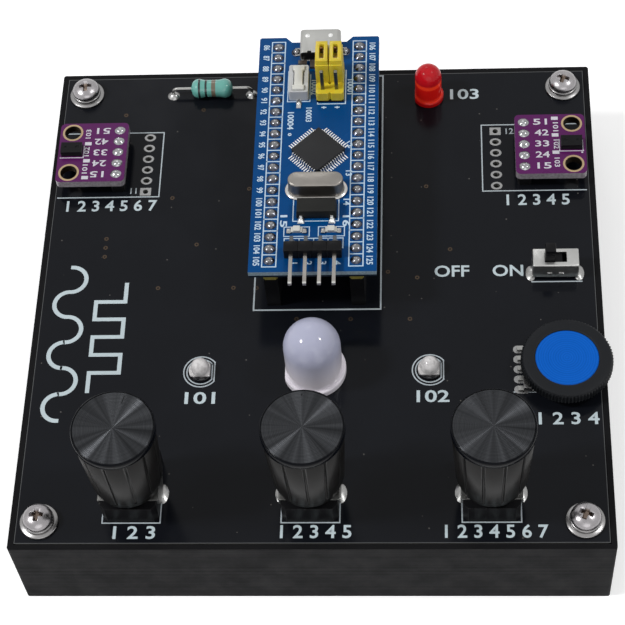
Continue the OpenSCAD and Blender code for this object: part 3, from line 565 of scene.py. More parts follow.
def dust_group():
    """Sparse pale specks, as dust on a dark surface, and the mask of a board's cut sides."""
    tree, given, out = node_group(
        "Dust and cut sides",
        [("Scale", 900.0), ("Share", 0.1)],
        [("Specks", "NodeSocketFloat"), ("Side", "NodeSocketFloat"), ("Fibres", "NodeSocketFloat")],
    )
    place = add(tree, "ShaderNodeTexCoord").outputs["Object"]
    cells = add(tree, "ShaderNodeTexVoronoi", {"Randomness": 1.0})
    presence = add(tree, "ShaderNodeSeparateColor")
    weave = add(tree, "ShaderNodeTexNoise", {"Scale": 2500.0, "Detail": 2.0})
    normal = add(tree, "ShaderNodeSeparateXYZ")
    tree.links.new(place, cells.inputs["Vector"])
    tree.links.new(place, weave.inputs["Vector"])
    tree.links.new(given.outputs["Scale"], cells.inputs["Scale"])
    tree.links.new(cells.outputs["Color"], presence.inputs[0])
    tree.links.new(add(tree, "ShaderNodeNewGeometry").outputs["True Normal"], normal.inputs[0])
    near = sums(tree, "LESS_THAN", cells.outputs["Distance"], 0.13)
    there = sums(tree, "LESS_THAN", presence.outputs[0], given.outputs["Share"])
    upright = sums(tree, "LESS_THAN", sums(tree, "ABSOLUTE", normal.outputs["Z"]), 0.5)
    tree.links.new(sums(tree, "MULTIPLY", near, there), out.inputs["Specks"])
    tree.links.new(upright, out.inputs["Side"])
    tree.links.new(weave.outputs[0], out.inputs["Fibres"])
    return tree


GROUPS = {}
GROUP_MAKERS = {"surface": surface_group, "rings": rings_group, "layers": layers_group, "dust": dust_group}


def grouped(tree, name, values):
    """A node of a shared group, which is built at its first use, with its own values."""
    if name not in GROUPS:
        GROUPS[name] = GROUP_MAKERS[name]()
    made = tree.nodes.new("ShaderNodeGroup")
    made.node_tree = GROUPS[name]
    for key, value in values.items():
        made.inputs[key].default_value = value
    return made


def mixed(tree, factor, first, second):
    """Colour between two colours; each may be a socket or an RGB value."""
    made = add(tree, "ShaderNodeMix", data_type="RGBA")
    for key, value in (("Factor", factor), ("A", first), ("B", second)):
        socket = [s for s in made.inputs if s.name == key and s.enabled][0]
        if isinstance(value, bpy.types.NodeSocket):
            tree.links.new(value, socket)
        else:
            socket.default_value = value if isinstance(value, float) else (*value, 1.0)
    return [s for s in made.outputs if s.enabled][0]


def ramp(tree, value, low_end, high_end):
    """A socket spread from the span low_end..high_end to 0..1."""
    made = add(tree, "ShaderNodeMapRange", {"From Min": low_end, "From Max": high_end})
    tree.links.new(value, made.inputs["Value"])
    return made.outputs[0]


def base_material(name, colour, metallic=0.0, rough=(0.3, 0.45), grain=(3000.0, 0.1), edge=0.08,
                  wear_and_sheen=0.25, patch=200.0, specular=0.5, shade=0.25):
    """A Principled finish on the shared surface group; returned with its tree, shader and
    colour."""
    material = bpy.data.materials.new(name)
    material.use_nodes = True
    tree = material.node_tree
    shader = tree.nodes["Principled BSDF"]
    values = {"Patch Scale": patch, "Rough Low": rough[0], "Rough High": rough[1]}
    values.update({"Grain Scale": grain[0], "Grain Depth": grain[1], "Edge Radius": edge * MM})
    surface = grouped(tree, "surface", values)
    darker = [c * (1 - shade) for c in colour]
    # edges lightened: partly wear, partly a painted sheen of light on the edges
    lighter = [min(1.0, c + wear_and_sheen * (0.08 + c)) for c in colour]
    tone = mixed(tree, surface.outputs["Mottle"], darker, list(colour))
    tone = mixed(tree, surface.outputs["Edge"], tone, lighter)
    tree.links.new(tone, shader.inputs["Base Color"])
    tree.links.new(surface.outputs["Roughness"], shader.inputs["Roughness"])
    tree.links.new(surface.outputs["Normal"], shader.inputs["Normal"])
    shader.inputs["Metallic"].default_value = metallic
    shader.inputs["Specular IOR Level"].default_value = specular
    return material, tree, shader, tone


def board_finish(name, colour, rough, specular, side, dust=0.035, painted_shade_below=None):
    """Solder mask over glass fibre: glossy faces with a little dust, and pale cut sides, on which shade may be
    painted below a height (mm)."""
    material, tree, shader, tone = base_material(
        name, colour, rough=rough, grain=(700.0, 0.03), edge=0.05, wear_and_sheen=0.1, patch=90.0, specular=specular
    )
    extra = grouped(tree, "dust", {"Scale": 900.0, "Share": dust})
    dusty = mixed(tree, extra.outputs["Specks"], tone, [0.09, 0.085, 0.08])
    fibre = mixed(tree, extra.outputs["Fibres"], [c * 0.3 for c in side], side)
    # painted shade: the cut side is dark below the height, which also hides board thickness that the real board
    # lacks
    if painted_shade_below is not None:
        above = ramp(tree, object_place(tree)["Z"], (painted_shade_below - 0.05) * MM, (painted_shade_below + 0.05) * MM)
        fibre = mixed(tree, above, [0.012, 0.02, 0.035], fibre)
    tree.links.new(mixed(tree, extra.outputs["Side"], dusty, fibre), shader.inputs["Base Color"])
    return material


def black_board():
    return board_finish("black_board", hues().lid_board[:], (0.1, 0.2), 0.11, [0.16, 0.16, 0.15])


def blue_board():
    return board_finish(
        # the last number is the height below which shade is painted on the cut sides
        "blue_board", hues().controller_board[:], (0.2, 0.32), 0.08, [0.42, 0.56, 0.66], 0.0, DECK - 1.05
    )


def purple_board():
    return board_finish(
        "purple_board", hues().sensor_board[:], (0.2, 0.32), 0.16, [0.44, 0.4, 0.44], 0.0
    )


def case_plastic():
    """Black printed plastic: level layer lines on its walls."""
    material, tree, shader, tone = base_material(
        "case_plastic", hues().case[:], rough=(0.42, 0.6), grain=(1800.0, 0.15), edge=0.15, specular=0.04
    )
    extra = grouped(tree, "layers", {"Layer": sizes().printed_layer})
    tree.links.new(
        mixed(tree, ramp(tree, extra.outputs["Tone"], 0.3, 0.7), tone, [0.014, 0.014, 0.015]),
        shader.inputs["Base Color"],
    )
    bump = add(tree, "ShaderNodeBump", {"Strength": 0.5, "Distance": 0.00006})
    tree.links.new(extra.outputs["Height"], bump.inputs["Height"])
    tree.links.new(bump.outputs[0], shader.inputs["Normal"])
    return material


def turned_finish(name, colour, centre, pitch, metallic, rough, strength, anisotropic=0.0,
                  specular=0.5, tint=0.0, sweep=0.0):
    """A face turned on a lathe: fine rings round its own centre (x, y) in mm, and, where asked, dark wedges
    round it painted as reflection."""
    material, tree, shader, tone = base_material(
        name, colour, metallic=metallic, rough=rough, grain=(2500.0, 0.05), specular=specular, shade=0.15
    )
    rings = grouped(
        tree, "rings", {"Centre X": centre[0] * MM, "Centre Y": centre[1] * MM, "Pitch": pitch * MM}
    )
    lighter = [min(1.0, c * (1 + tint) + 0.02 * tint) for c in colour]
    ringed = mixed(tree, ramp(tree, rings.outputs["Height"], -0.5, 2.5), tone, lighter)
    if sweep:
        # painted reflection: dark wedges round the spun disc
        wedges = sums(tree, "MULTIPLY", ramp(tree, rings.outputs["Sweep"], 0.35, 0.65), sweep)
        ringed = mixed(tree, wedges, ringed, [c * 0.3 for c in colour])
    tree.links.new(ringed, shader.inputs["Base Color"])
    bump = add(tree, "ShaderNodeBump", {"Strength": strength, "Distance": 0.00001})
    tree.links.new(rings.outputs["Height"], bump.inputs["Height"])
    tree.links.new(bump.outputs[0], shader.inputs["Normal"])
    if anisotropic:
        shader.inputs["Anisotropic"].default_value = anisotropic
        shader.inputs["Anisotropic Rotation"].default_value = 0.25
        tangent = add(tree, "ShaderNodeTangent", direction_type="RADIAL", axis="Z")
        tree.links.new(tangent.outputs[0], shader.inputs["Tangent"])
    return material


def blue_plastic():
    """Blue disc of the thumb wheel, with coarser rings."""
    return turned_finish(
        "blue_plastic", hues().wheel_disc[:], place_of("wheel_disc"), 0.42, 0.0, (0.4, 0.5), 0.9,
        specular=0.08, tint=0.18
    )


def spun_disc(side):
    """Dark anodised aluminium, spun: its rings draw the light out into two crossing streaks."""
    return turned_finish(
        # the spun discs get dark wedges of painted reflection
        "spun_" + side, hues().knob_disc[:], place_of(side + "_knob_disc"), 0.26, 1.0, (0.26, 0.3), 0.6,
        anisotropic=1.0, tint=0.4, sweep=0.8
    )


def metal(name, colour, rough, grain=0.08, edge=0.06, patch=500.0):
    """A plain metal with faint patches."""
    return base_material(name, colour, 1.0, rough, (2500.0, grain), edge, 0.15, patch, shade=0.2)[0]


def object_place(tree):
    """The X, Y and Z sockets of the object's own coordinates."""
    split = add(tree, "ShaderNodeSeparateXYZ")
    tree.links.new(add(tree, "ShaderNodeTexCoord").outputs["Object"], split.inputs[0])
    return split.outputs


def pin_solder_painted_reflection():
    """Joints of the pin rows: a dark reflection painted low on their flank, plain metal at their top."""
    material, tree, shader, tone = base_material(
        "solder", [0.27, 0.27, 0.28], 1.0, (0.14, 0.28), (2500.0, 0.3), 0.06, 0.15, 1500.0, shade=0.5
    )
    top = ramp(tree, object_place(tree)["Z"], (DECK + 0.2) * MM, (DECK + 0.48) * MM)
    # painted reflection: the joint is dark low on its flank
    tree.links.new(mixed(tree, top, [0.05, 0.055, 0.075], tone), shader.inputs["Base Color"])
    return material


def pin_tin():
    """Tinned pins, with a painted highlight at their tips and painted shade where they are bent behind their
    strip.
    """
    material, tree, shader, tone = base_material(
        "pin_tin", [0.33, 0.315, 0.295], 1.0, (0.24, 0.34), (2500.0, 0.0), 0.03, 0.1, 300.0
    )
    along = object_place(tree)["Y"]
    tips = low("debug_pins", Y)
    # painted highlight at the tips of the pins
    tip_highlight = ramp(tree, along, (tips + 0.5) * MM, (tips + 0.2) * MM)
    tone = mixed(tree, tip_highlight, tone, [0.55, 0.55, 0.53])
    # painted shade on the part behind the strip
    bend_shade = ramp(tree, along, 0.9 * MM, 1.2 * MM)
    tree.links.new(mixed(tree, bend_shade, tone, [0.1, 0.105, 0.11]), shader.inputs["Base Color"])
    return material


def screw_steel():
    """Nickel-plated heads whose cross recesses are painted brown and dark as shade."""
    material, tree, shader, tone = base_material(
        "screw_steel", [0.36, 0.345, 0.355], 1.0, (0.22, 0.32), (2500.0, 0.02), 0.08, 0.1, 600.0
    )
    place = object_place(tree)
    off = [
        sums(tree, "SUBTRACT", sums(tree, "ABSOLUTE", place[axis]), SCREW_REACH * MM) for axis in "XY"
    ]
    away = sums(tree, "ADD", *[sums(tree, "MULTIPLY", side, side) for side in off])
    inside = sums(tree, "LESS_THAN", away, (1.75 * MM) ** 2)
    top = high("corner_screws", Z)
    deep = ramp(tree, place["Z"], (top - 0.5) * MM, (top - 0.85) * MM)
    # painted shade in the cross recess
    recess = mixed(tree, sums(tree, "MULTIPLY", inside, deep), tone, [0.15, 0.115, 0.095])
    tree.links.new(recess, shader.inputs["Base Color"])
    return material


def plastic(name, colour, rough, grain=0.1, edge=0.08, specular=0.5, wear_and_sheen=0.3, soft=0.0):
    """A moulded plastic or a print; the colour may be the name of one in the sidebar."""
    if isinstance(colour, str):
        colour = getattr(hues(), colour)[:]
    material, _, shader, _ = base_material(
        name, colour, rough=rough, grain=(2600.0, grain), edge=edge, specular=specular, wear_and_sheen=wear_and_sheen
    )
    if soft:
        shader.inputs["Subsurface Weight"].default_value = soft
        shader.inputs["Subsurface Scale"].default_value = 0.0012
    return material


def knob_plastic():
    """Black knobs, with painted shade darkening them towards their foot."""
    material, tree, shader, tone = base_material(
        "knob_plastic", hues().knob[:], rough=(0.28, 0.4), grain=(2600.0, 0.15), edge=0.06,
        specular=0.17, wear_and_sheen=0.6
    )
    foot = low("left_knob", Z)
    # painted shade: the knob grows darker towards its foot
    up = ramp(tree, object_place(tree)["Z"], (foot + 1.5) * MM, (foot + 7.0) * MM)
    tree.links.new(mixed(tree, up, [0.003, 0.003, 0.003], tone), shader.inputs["Base Color"])
    return material


def glossy_solder():
    """Bright joints, uneven in tone through dark patches of painted reflection."""
    return base_material(
        "glossy_solder", [0.5, 0.5, 0.52], 1.0, (0.12, 0.26), (1800.0, 0.5), 0.06, 0.15, 2200.0, shade=0.8
    )[0]


COIL_BANDS = [
    # distance from the body's left end (mm), width (mm), colour
    (1.72, 0.42, (0.012, 0.02, 0.02)),
    (2.98, 0.42, (0.012, 0.02, 0.02)),
    (4.45, 0.8, (0.15, 0.125, 0.085)),
]


def green_lacquer():
    """Lacquered inductor body with its colour bands, which stand across its length."""
    material, tree, shader, tone = base_material(
        "green_lacquer", hues().inductor[:], rough=(0.07, 0.15), grain=(900.0, 0.04), edge=0.1
    )
    place = object_place(tree)
    left = low("inductor", X)
    for offset, width, colour in COIL_BANDS:
        away = sums(tree, "ABSOLUTE", sums(tree, "SUBTRACT", place["X"], (left + offset) * MM))
        inside = sums(tree, "LESS_THAN", away, width / 2 * MM)
        tone = mixed(tree, inside, tone, list(colour))
    tree.links.new(tone, shader.inputs["Base Color"])
    return material


def lens(name, colours, levels, transmission, rough, soft, painted_glow, foot=None, grain=(700.0, 0.02),
         specular=0.35):
    """A cast lamp body, whose colour changes to the next one over each of the levels (mm above the lid). A
    painted emission stands in for light that passes through it, and a see-through one is painted dark low at
    its front (foot is its middle Y), as shade where the board shows through."""
    material, tree, shader, _ = base_material(
        name, colours[0], rough=rough, grain=grain, edge=0.1, wear_and_sheen=0.1, shade=0.1
    )
    place = object_place(tree)
    tone = list(colours[0])
    for colour, (start, end) in zip(colours[1:], levels):
        reached = ramp(tree, place["Z"], (TOP + start) * MM, (TOP + end) * MM)
        tone = mixed(tree, reached, tone, list(colour))
    if foot is not None:
        cloud = add(tree, "ShaderNodeTexNoise", {"Scale": 1100.0, "Detail": 1.0})
        tree.links.new(add(tree, "ShaderNodeTexCoord").outputs["Object"], cloud.inputs["Vector"])
        cloudy = [c * 0.8 for c in colours[0]]
        tone = mixed(tree, ramp(tree, cloud.outputs[0], 0.42, 0.6), tone, cloudy)
        # painted shade: dark low at the front of a see-through lamp, where the board would show through
        front = sums(tree, "MULTIPLY", sums(tree, "SUBTRACT", foot * MM, place["Y"]), 1.6)
        clear = sums(tree, "SUBTRACT", front, sums(tree, "SUBTRACT", place["Z"], TOP * MM))
        tone = mixed(tree, ramp(tree, clear, 1.2 * MM, 1.6 * MM), tone, [0.012, 0.012, 0.014])
    tree.links.new(tone, shader.inputs["Base Color"])
    tree.links.new(tone, shader.inputs["Emission Color"])
    # painted light: emission standing in for light that passes through the lamp
    shader.inputs["Emission Strength"].default_value = painted_glow
    shader.inputs["Transmission Weight"].default_value = transmission
    shader.inputs["Subsurface Weight"].default_value = soft
    shader.inputs["Subsurface Scale"].default_value = 0.002
    shader.inputs["Subsurface Radius"].default_value = (1.0, 1.0, 1.0)
    shader.inputs["Specular IOR Level"].default_value = specular
    return material


def red_lens():
    """Red lamp, its tones by height painted as light and shade: a dark foot, a bright step, a deep body, a
    bright stripe and a darker dome.
    """
    # tones by height: painted light passing through the lamp, and painted shade
    foot, step, deep = [0.34, 0.003, 0.004], [0.72, 0.03, 0.012], [0.58, 0.008, 0.006]
    painted_bright_band, dome_red = [0.85, 0.045, 0.015], [0.43, 0.006, 0.012]
    levels = [(0.9, 1.1), (1.5, 1.9), (4.5, 4.85), (5.4, 5.9)]
    return lens(
        "red_lens", [foot, step, deep, painted_bright_band, dome_red], levels, 0.1, (0.05, 0.1), 0.25, 0.22, specular=0.13
    )


def milky_lens():
    """Large lamp, with painted light making it paler at its foot."""
    # painted light: the paler colour low on the lamp
    colours = [[0.72, 0.68, 0.74], list(hues().milky_lamp)]
    return lens("milky_lens", colours, [(3.0, 9.5)], 0.0, (0.08, 0.15), 0.45, 0.15)


def clear_lens():
    """Small lamps, a little cloudy, with shade painted low at their front."""
    # middle Y about which shade is painted low at the lamps' front
    front = SMALL_LAMPS[0][1]
    return lens(
        "clear_lens", [[0.74, 0.72, 0.72]], [], 0.1, (0.06, 0.14), 0.25, 0.05, front, (1500.0, 0.5)
    )


METALS = {
    # colour, roughness; grain, edge radius (mm) and patch scale where they differ
    "brass": ([0.5, 0.34, 0.12], (0.25, 0.4)),
    "contact_bronze": ([0.2, 0.1, 0.05], (0.25, 0.4)),
    "gold_plate": ([0.7, 0.48, 0.18], (0.2, 0.35)),
    "via_bronze": ([0.07, 0.05, 0.035], (0.4, 0.5)),
    "cover_metal": ([0.44, 0.44, 0.43], (0.3, 0.4), 0.04),
    "nickel": ([0.29, 0.285, 0.285], (0.24, 0.34), 0.03),
    "can_metal": ([0.262, 0.246, 0.226], (0.3, 0.4), 0.35),
    "flange_metal": ([0.52, 0.51, 0.49], (0.2, 0.3), 0.04),
    "shell_metal": ([0.4, 0.4, 0.385], (0.42, 0.55), 0.06),
    "shaft_metal": ([0.5, 0.5, 0.5], (0.25, 0.4)),
    "tin": ([0.34, 0.34, 0.33], (0.25, 0.38), 0.03),
    "flat_tin": ([0.3, 0.3, 0.3], (0.4, 0.55), 0.3),
    "lead_tin": ([0.78, 0.78, 0.77], (0.3, 0.42), 0.0, 0.01),
    # darker, yellowish copy of tin: painted reflection of the yellow caps and of dark surroundings
    "boot_tin": ([0.17, 0.165, 0.125], (0.24, 0.34), 0.0, 0.03),
    "pale_solder": ([0.34, 0.34, 0.335], (0.2, 0.4), 0.3, 0.06, 1500.0),
}
PLASTICS = {
    # colour, roughness; grain, edge radius (mm), specular level, edge wear with painted edge sheen, and
    # softness where they differ
    "black_plastic": ([0.007, 0.007, 0.008], (0.3, 0.45), 0.1, 0.08, 0.1),
    "wheel_plastic": ([0.008, 0.009, 0.011], (0.45, 0.6), 0.3, 0.05, 0.14, 0.4),
    # darker, bluer copy of the knob plastic: painted shade of the band under the disc
    "knob_rim": ([0.0022, 0.0028, 0.0048], (0.18, 0.28), 0.05, 0.06, 0.06),
    "chip_plastic": ([0.019, 0.0195, 0.021], (0.45, 0.6), 0.6, 0.05, 0.18),
    "clock_plastic": ([0.0125, 0.0128, 0.012], (0.4, 0.55), 0.5, 0.05, 0.15),
    "chip_ceramic": ([0.06, 0.045, 0.035], (0.3, 0.45), 0.1, 0.04),
    "yellow_plastic": ("jumpers", (0.25, 0.4), 0.08, 0.06, 0.5, 0.3, 0.15),
    # a darker copy of the jumper yellow: painted shade on the pin strips
    "strip_yellow": ([0.3, 0.25, 0.05], (0.35, 0.5)),
    "grey_plastic": ([0.56, 0.57, 0.58], (0.35, 0.5), 0.1, 0.08, 0.3),
    "white_plastic": ([0.72, 0.72, 0.68], (0.3, 0.45)),
    # pale grey of the painted highlight along the lid board's edge
    "cut_edge": ([0.055, 0.058, 0.06], (0.5, 0.6), 0.3, 0.01),
    "ring_print": ([0.5, 0.36, 0.2], (0.35, 0.5), 0.2, 0.01),
    "white_print": ("white_print", (0.4, 0.55), 0.3, 0.01),
    "fine_print": ("fine_print", (0.4, 0.55), 0.3, 0.01),
    "board_print": ([0.6, 0.76, 0.9], (0.4, 0.55), 0.0, 0.0, 0.2),
    "sensor_print": ([0.7, 0.68, 0.75], (0.4, 0.55), 0.0, 0.0, 0.2),
}
OWN_FINISHES = {
    "black_board": black_board,
    "blue_board": blue_board,
    "purple_board": purple_board,
    "case_plastic": case_plastic,
    "blue_plastic": blue_plastic,
    "knob_plastic": knob_plastic,
    "green_lacquer": green_lacquer,
    "red_lens": red_lens,
    "milky_lens": milky_lens,
    "clear_lens": clear_lens,
    "solder": pin_solder_painted_reflection,
    "glossy_solder": glossy_solder,
    "pin_tin": pin_tin,
    "screw_steel": screw_steel,
}
MADE = {}


def finish(name):
    """The finish of that name, made at its first use."""
    if name not in MADE:
        if name in METALS:
            MADE[name] = metal(name, *METALS[name])
        elif name in PLASTICS:
            MADE[name] = plastic(name, *PLASTICS[name])
        elif name.startswith("spun_"):
            MADE[name] = spun_disc(name[len("spun_"):])
        else:
            MADE[name] = OWN_FINISHES[name]()
    return MADE[name]


# ---- Stage and CAD nodes ----

CAMERA_PLACE = (22.453, -188.982, 311.924)
CAMERA_TURN = (32.246, 3.535, 1.562)
# glow of the white floor where it is seen
FLOOR_GLOW = 0.42
LAMPS = [
    # direction from the object, distance (m), size (m), share of the power
    ((-0.62, -0.12, 0.78), 0.95, 0.14, 1.0),
    ((0.55, 0.02, 0.83), 1.0, 0.16, 0.45),
    ((-0.15, 0.75, 0.65), 1.1, 0.25, 0.12),
    ((0.1, -0.85, 0.5), 1.1, 0.8, 0.4),
]


def light_path_strength(tree, plain, seen):
    """A strength that is one value for light on things and another where it is seen."""
    path = add(tree, "ShaderNodeLightPath")
    glass = sums(tree, "MAXIMUM", path.outputs["Is Glossy Ray"], path.outputs["Is Transmission Ray"])
    shown = sums(tree, "MAXIMUM", path.outputs["Is Camera Ray"], glass)
    made = add(tree, "ShaderNodeMapRange", {"To Min": plain, "To Max": seen})
    tree.links.new(shown, made.inputs["Value"])
    return made.outputs[0]


def build_stage():
    """White surroundings, a pale floor, soft lamps and the camera."""
    scene = bpy.context.scene
    scene.view_settings.view_transform = "Standard"
    world = bpy.data.worlds.new("Studio")
    world.use_nodes = True
    tree = world.node_tree
    back = tree.nodes["Background"]
    back.inputs["Color"].default_value = (1, 1, 1, 1)
    tree.links.new(light_path_strength(tree, stage_settings().fill, 1.0), back.inputs["Strength"])
    scene.world = world
    clear_selection()
    bpy.ops.mesh.primitive_grid_add(x_subdivisions=8, y_subdivisions=8, size=5)
    floor = bpy.context.object
    floor.name = "floor"
    paper = bpy.data.materials.new("paper")
    paper.use_nodes = True
    shader = paper.node_tree.nodes["Principled BSDF"]
    shader.inputs["Base Color"].default_value = (0.9, 0.9, 0.9, 1)
    shader.inputs["Roughness"].default_value = 0.8
    shader.inputs["Specular IOR Level"].default_value = 0.1
    shader.inputs["Emission Color"].default_value = (1, 1, 1, 1)
    if stage_settings().white_floor:
        paper.node_tree.links.new(
            light_path_strength(paper.node_tree, 0.0, FLOOR_GLOW), shader.inputs["Emission Strength"]
        )
    floor.data.materials.append(paper)
    for i, (direction, distance, size, share) in enumerate(LAMPS):
        clear_selection()
        place = Vector(direction).normalized() * distance
        bpy.ops.object.light_add(type="AREA", location=place)
        lamp = bpy.context.object
        lamp.name = "lamp_" + str(i + 1)
        lamp.data.shape = "DISK"
        lamp.data.size = size
        lamp.data.energy = stage_settings().lamp_power * share
        lamp.rotation_euler = place.to_track_quat("Z", "Y").to_euler()
    clear_selection()
    bpy.ops.object.camera_add(
        location=point(*CAMERA_PLACE), rotation=[math.radians(angle) for angle in CAMERA_TURN]
    )
    camera = bpy.context.object
    camera.name = "camera"
    camera.data.lens = stage_settings().lens
    camera.data.sensor_width = 36
    camera.data.clip_start = 0.01
    scene.camera = camera


CAD_FINISHES = {
    "case_plastic": ["case"],
    "black_board": ["panel_board"],
    "blue_board": ["controller_board"],
    "purple_board": ["left_sensor_board", "right_sensor_board"],
    "brass": ["threaded_inserts"],
    "gold_plate": ["socket_contacts"],
    "screw_steel": ["corner_screws"],
    "nickel": ["spring_washers", "flat_washers", "switch_shell", "wheel_plate"],
    "shell_metal": ["usb_shell"],
    "can_metal": ["crystal_can"],
    "lead_tin": ["chip_leads"],
    "boot_tin": ["boot_pins"],
    "pin_tin": ["debug_pins"],
    "tin": ["strip_pins", "sensor_pins", "inductor_leads", "lamp_leads", "pot_brackets", "terminals"],
    "shaft_metal": ["left_shaft", "middle_shaft", "right_shaft"],
    "black_plastic": ["header_sockets", "usb_tongue", "debug_header", "sensor_headers", "pot_bodies",
                      "switch_base", "switch_slider", "wheel_carriage", "audio_jack", "sensor_chips"],
    "chip_plastic": ["processor", "clock_crystal", "audio_chip"],
    "chip_ceramic": ["chip_parts"],
    "strip_yellow": ["pin_strips"],
    "yellow_plastic": ["boot_header", "left_jumper", "right_jumper"],
    "grey_plastic": ["reset_switch"],
    "white_plastic": ["reset_button", "board_lamps"],
    "knob_plastic": ["left_knob", "middle_knob", "right_knob", "wheel_ring"],
    "spun_left": ["left_knob_disc"],
    "spun_middle": ["middle_knob_disc"],
    "spun_right": ["right_knob_disc"],
    "blue_plastic": ["wheel_disc"],
    "green_lacquer": ["inductor"],
    "red_lens": ["red_lamp"],
    "milky_lens": ["colour_lamp"],
    "clear_lens": ["clear_lamps"],
}


def dress_frame():
    """Gives every CAD node its finish."""
    for name, nodes in CAD_FINISHES.items():
        for node in nodes:
            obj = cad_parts[node]
            obj.data.materials.clear()
            obj.data.materials.append(finish(name))
    dressed = {node for nodes in CAD_FINISHES.values() for node in nodes}
    bare = sorted(set(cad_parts) - dressed)
    if bare:
        raise RuntimeError("no finish for " + ", ".join(bare))


# ---- Pieces ----


def cut(obj, cutter, operation="DIFFERENCE"):
    """Takes the cutter's shape out of a piece, or adds it; the cutter is used up."""
    pick(obj)
    modifier = obj.modifiers.new("Cut", "BOOLEAN")
    modifier.object = cutter
    modifier.operation = operation
    modifier.solver = "EXACT"
    bpy.ops.object.modifier_apply(modifier=modifier.name)
    bpy.data.objects.remove(cutter)
    return obj


def clean(obj):
    """Merges doubled points and turns the faces outward."""
    edit(obj)
    bpy.ops.mesh.remove_doubles(threshold=1e-6)
    bpy.ops.mesh.normals_make_consistent(inside=False)
    leave_edit()
    return obj


# first groove and place of the mark round each knob, in degrees, and the mark's length in mm
KNOBS = {"left": (20, 76, 1.5), "middle": (3, 92, 0.4), "right": (15, 90, 0.3)}
KNOB_GROOVES = 12
KNOB_SIDES = 96
GROOVE_REACH = 6.42
GROOVE_SIZE = (0.7, 0.3, 14.2)
GROOVE_LEAN = 0.0466
RIM_WIDTH = 0.3
SHOULDER = 16.25


def make_knob(side):
    """A grooved body, the polished rim round its top, the spun disc in it and the mark on that."""
    first, mark_angle, mark_long = KNOBS[side]
    node = side + "_knob"
    x, y = place_of(node)
    foot, top = low(node, Z), high(node, Z)
    rim = extent(node, X) / 2
    disc = rim - RIM_WIDTH
    neck = foot + SHOULDER
    stations = [(3.05, foot + 12.9), (3.05, foot + 2), (4, foot + 2), (4, foot), (rim - 1.55, foot)]
    stations += [(rim - 1.35, foot + 0.2), (rim - 1.3, foot + 1.1), (rim - 1.05, foot + 1.6)]
    stations += [(rim - 0.84, foot + 2.3), (rim - 0.15, neck - 0.15), (rim - 0.3, neck)]
    stations += [(rim - 1.2, neck), (TIP, neck)]
    body = turned(node + "_body", (x, y), stations, KNOB_SIDES)
    grooves = []
    for i in range(KNOB_GROOVES):
        angle = math.radians(first - 90 + i * 360 / KNOB_GROOVES)
        clear_selection()
        bpy.ops.mesh.primitive_cube_add(
            size=1,
            location=point(x + GROOVE_REACH * math.cos(angle), y + GROOVE_REACH * math.sin(angle), foot + 8.9),
            rotation=(0, GROOVE_LEAN, angle),
            scale=point(*GROOVE_SIZE),
        )
        grooves.append(bpy.context.object)
    cut(body, join("grooves", grooves))
    bevel(body, 0.07, 1, 50)
    gather(node + "_body", [body], "knob_plastic", 50, node, [node])
    stations = [(rim - 0.5, neck + 0.03), (rim - 0.1, neck + 0.05), (rim, neck + 0.2), (rim, top - 0.3)]
    stations += [(rim - 0.07, top - 0.1), (rim - 0.22, top), (disc + 0.03, top), (disc + 0.03, top - 0.8)]
    ring = turned(node + "_rim", (x, y), stations + [(TIP, top - 0.8)], KNOB_SIDES)
    # the rim's finish is darker than the body: painted shade
    gather(node + "_rim", [ring], "knob_rim", 40, node)
    stations = [(disc - 0.1, top - 0.79), (disc, top - 0.7), (disc, top - 0.1), (disc - 0.1, top), (TIP, top)]
    face = turned(node + "_face", (x, y), stations, KNOB_SIDES)
    gather(node + "_face", [face], "spun_" + side, 30, node, [node + "_disc"])
    angle = math.radians(mark_angle)
    reach = disc - 0.55 - mark_long / 2
    place = (x + reach * math.cos(angle), y + reach * math.sin(angle), top - 0.008)
    mark = block(node + "_mark", place, (mark_long, 0.16, 0.024), 0.005, 1, mark_angle)
    finish_piece(mark, node + "_mark", "black_plastic", node)


KNURLS = 84
KNURL_DEPTH = 0.3


def make_wheel():
    """The knurled ring of the thumb wheel and the blue disc in it."""
    x, y = place_of("wheel_ring")
    foot, top = low("wheel_ring", Z), high("wheel_ring", Z)
    rim, disc = extent("wheel_ring", X) / 2, extent("wheel_disc", X) / 2
    stations = [(1.55, foot), (rim - 0.3, foot), (rim, foot + 0.25), (rim, top - 0.5)]
    stations += [(rim - 0.3, top - 0.25), (rim - 0.42, top - 0.1), (rim - 0.65, top), (disc + 0.25, top)]
    stations += [(disc + 0.04, top - 0.1), (disc + 0.04, top - 0.8), (1.55, top - 0.8), (1.55, foot)]
    ring = turned("wheel_rim", (x, y), stations, 2 * KNURLS, closed=True)
    edit(ring)
    mesh = bmesh.from_edit_mesh(ring.data)
    bpy.ops.mesh.select_all(action="DESELECT")
    bpy.ops.mesh.select_mode(type="VERT")
    for vert in mesh.verts:
        away = vert.co / MM - Vector((x, y, vert.co.z / MM))
        step = round(math.degrees(math.atan2(away.y, away.x)) * KNURLS / 180)
        vert.select_set(away.length > rim - 0.05 and step % 2 == 1)
    bmesh.update_edit_mesh(ring.data)
    spread = (rim - KNURL_DEPTH) / rim
    bpy.ops.transform.resize(value=(spread, spread, 1), center_override=point(x, y, 0))
    leave_edit()
    gather("wheel_rim", [ring], "wheel_plastic", 25, "octave_wheel", ["wheel_ring"])
    top = high("wheel_disc", Z)
    stations = [(disc - 0.1, top - 0.7), (disc, top - 0.6), (disc, top - 0.12), (disc - 0.12, top), (TIP, top)]
    face = turned("wheel_face", (x, y), stations, 64)
    gather("wheel_face", [face], "blue_plastic", 30, "octave_wheel", ["wheel_disc"])


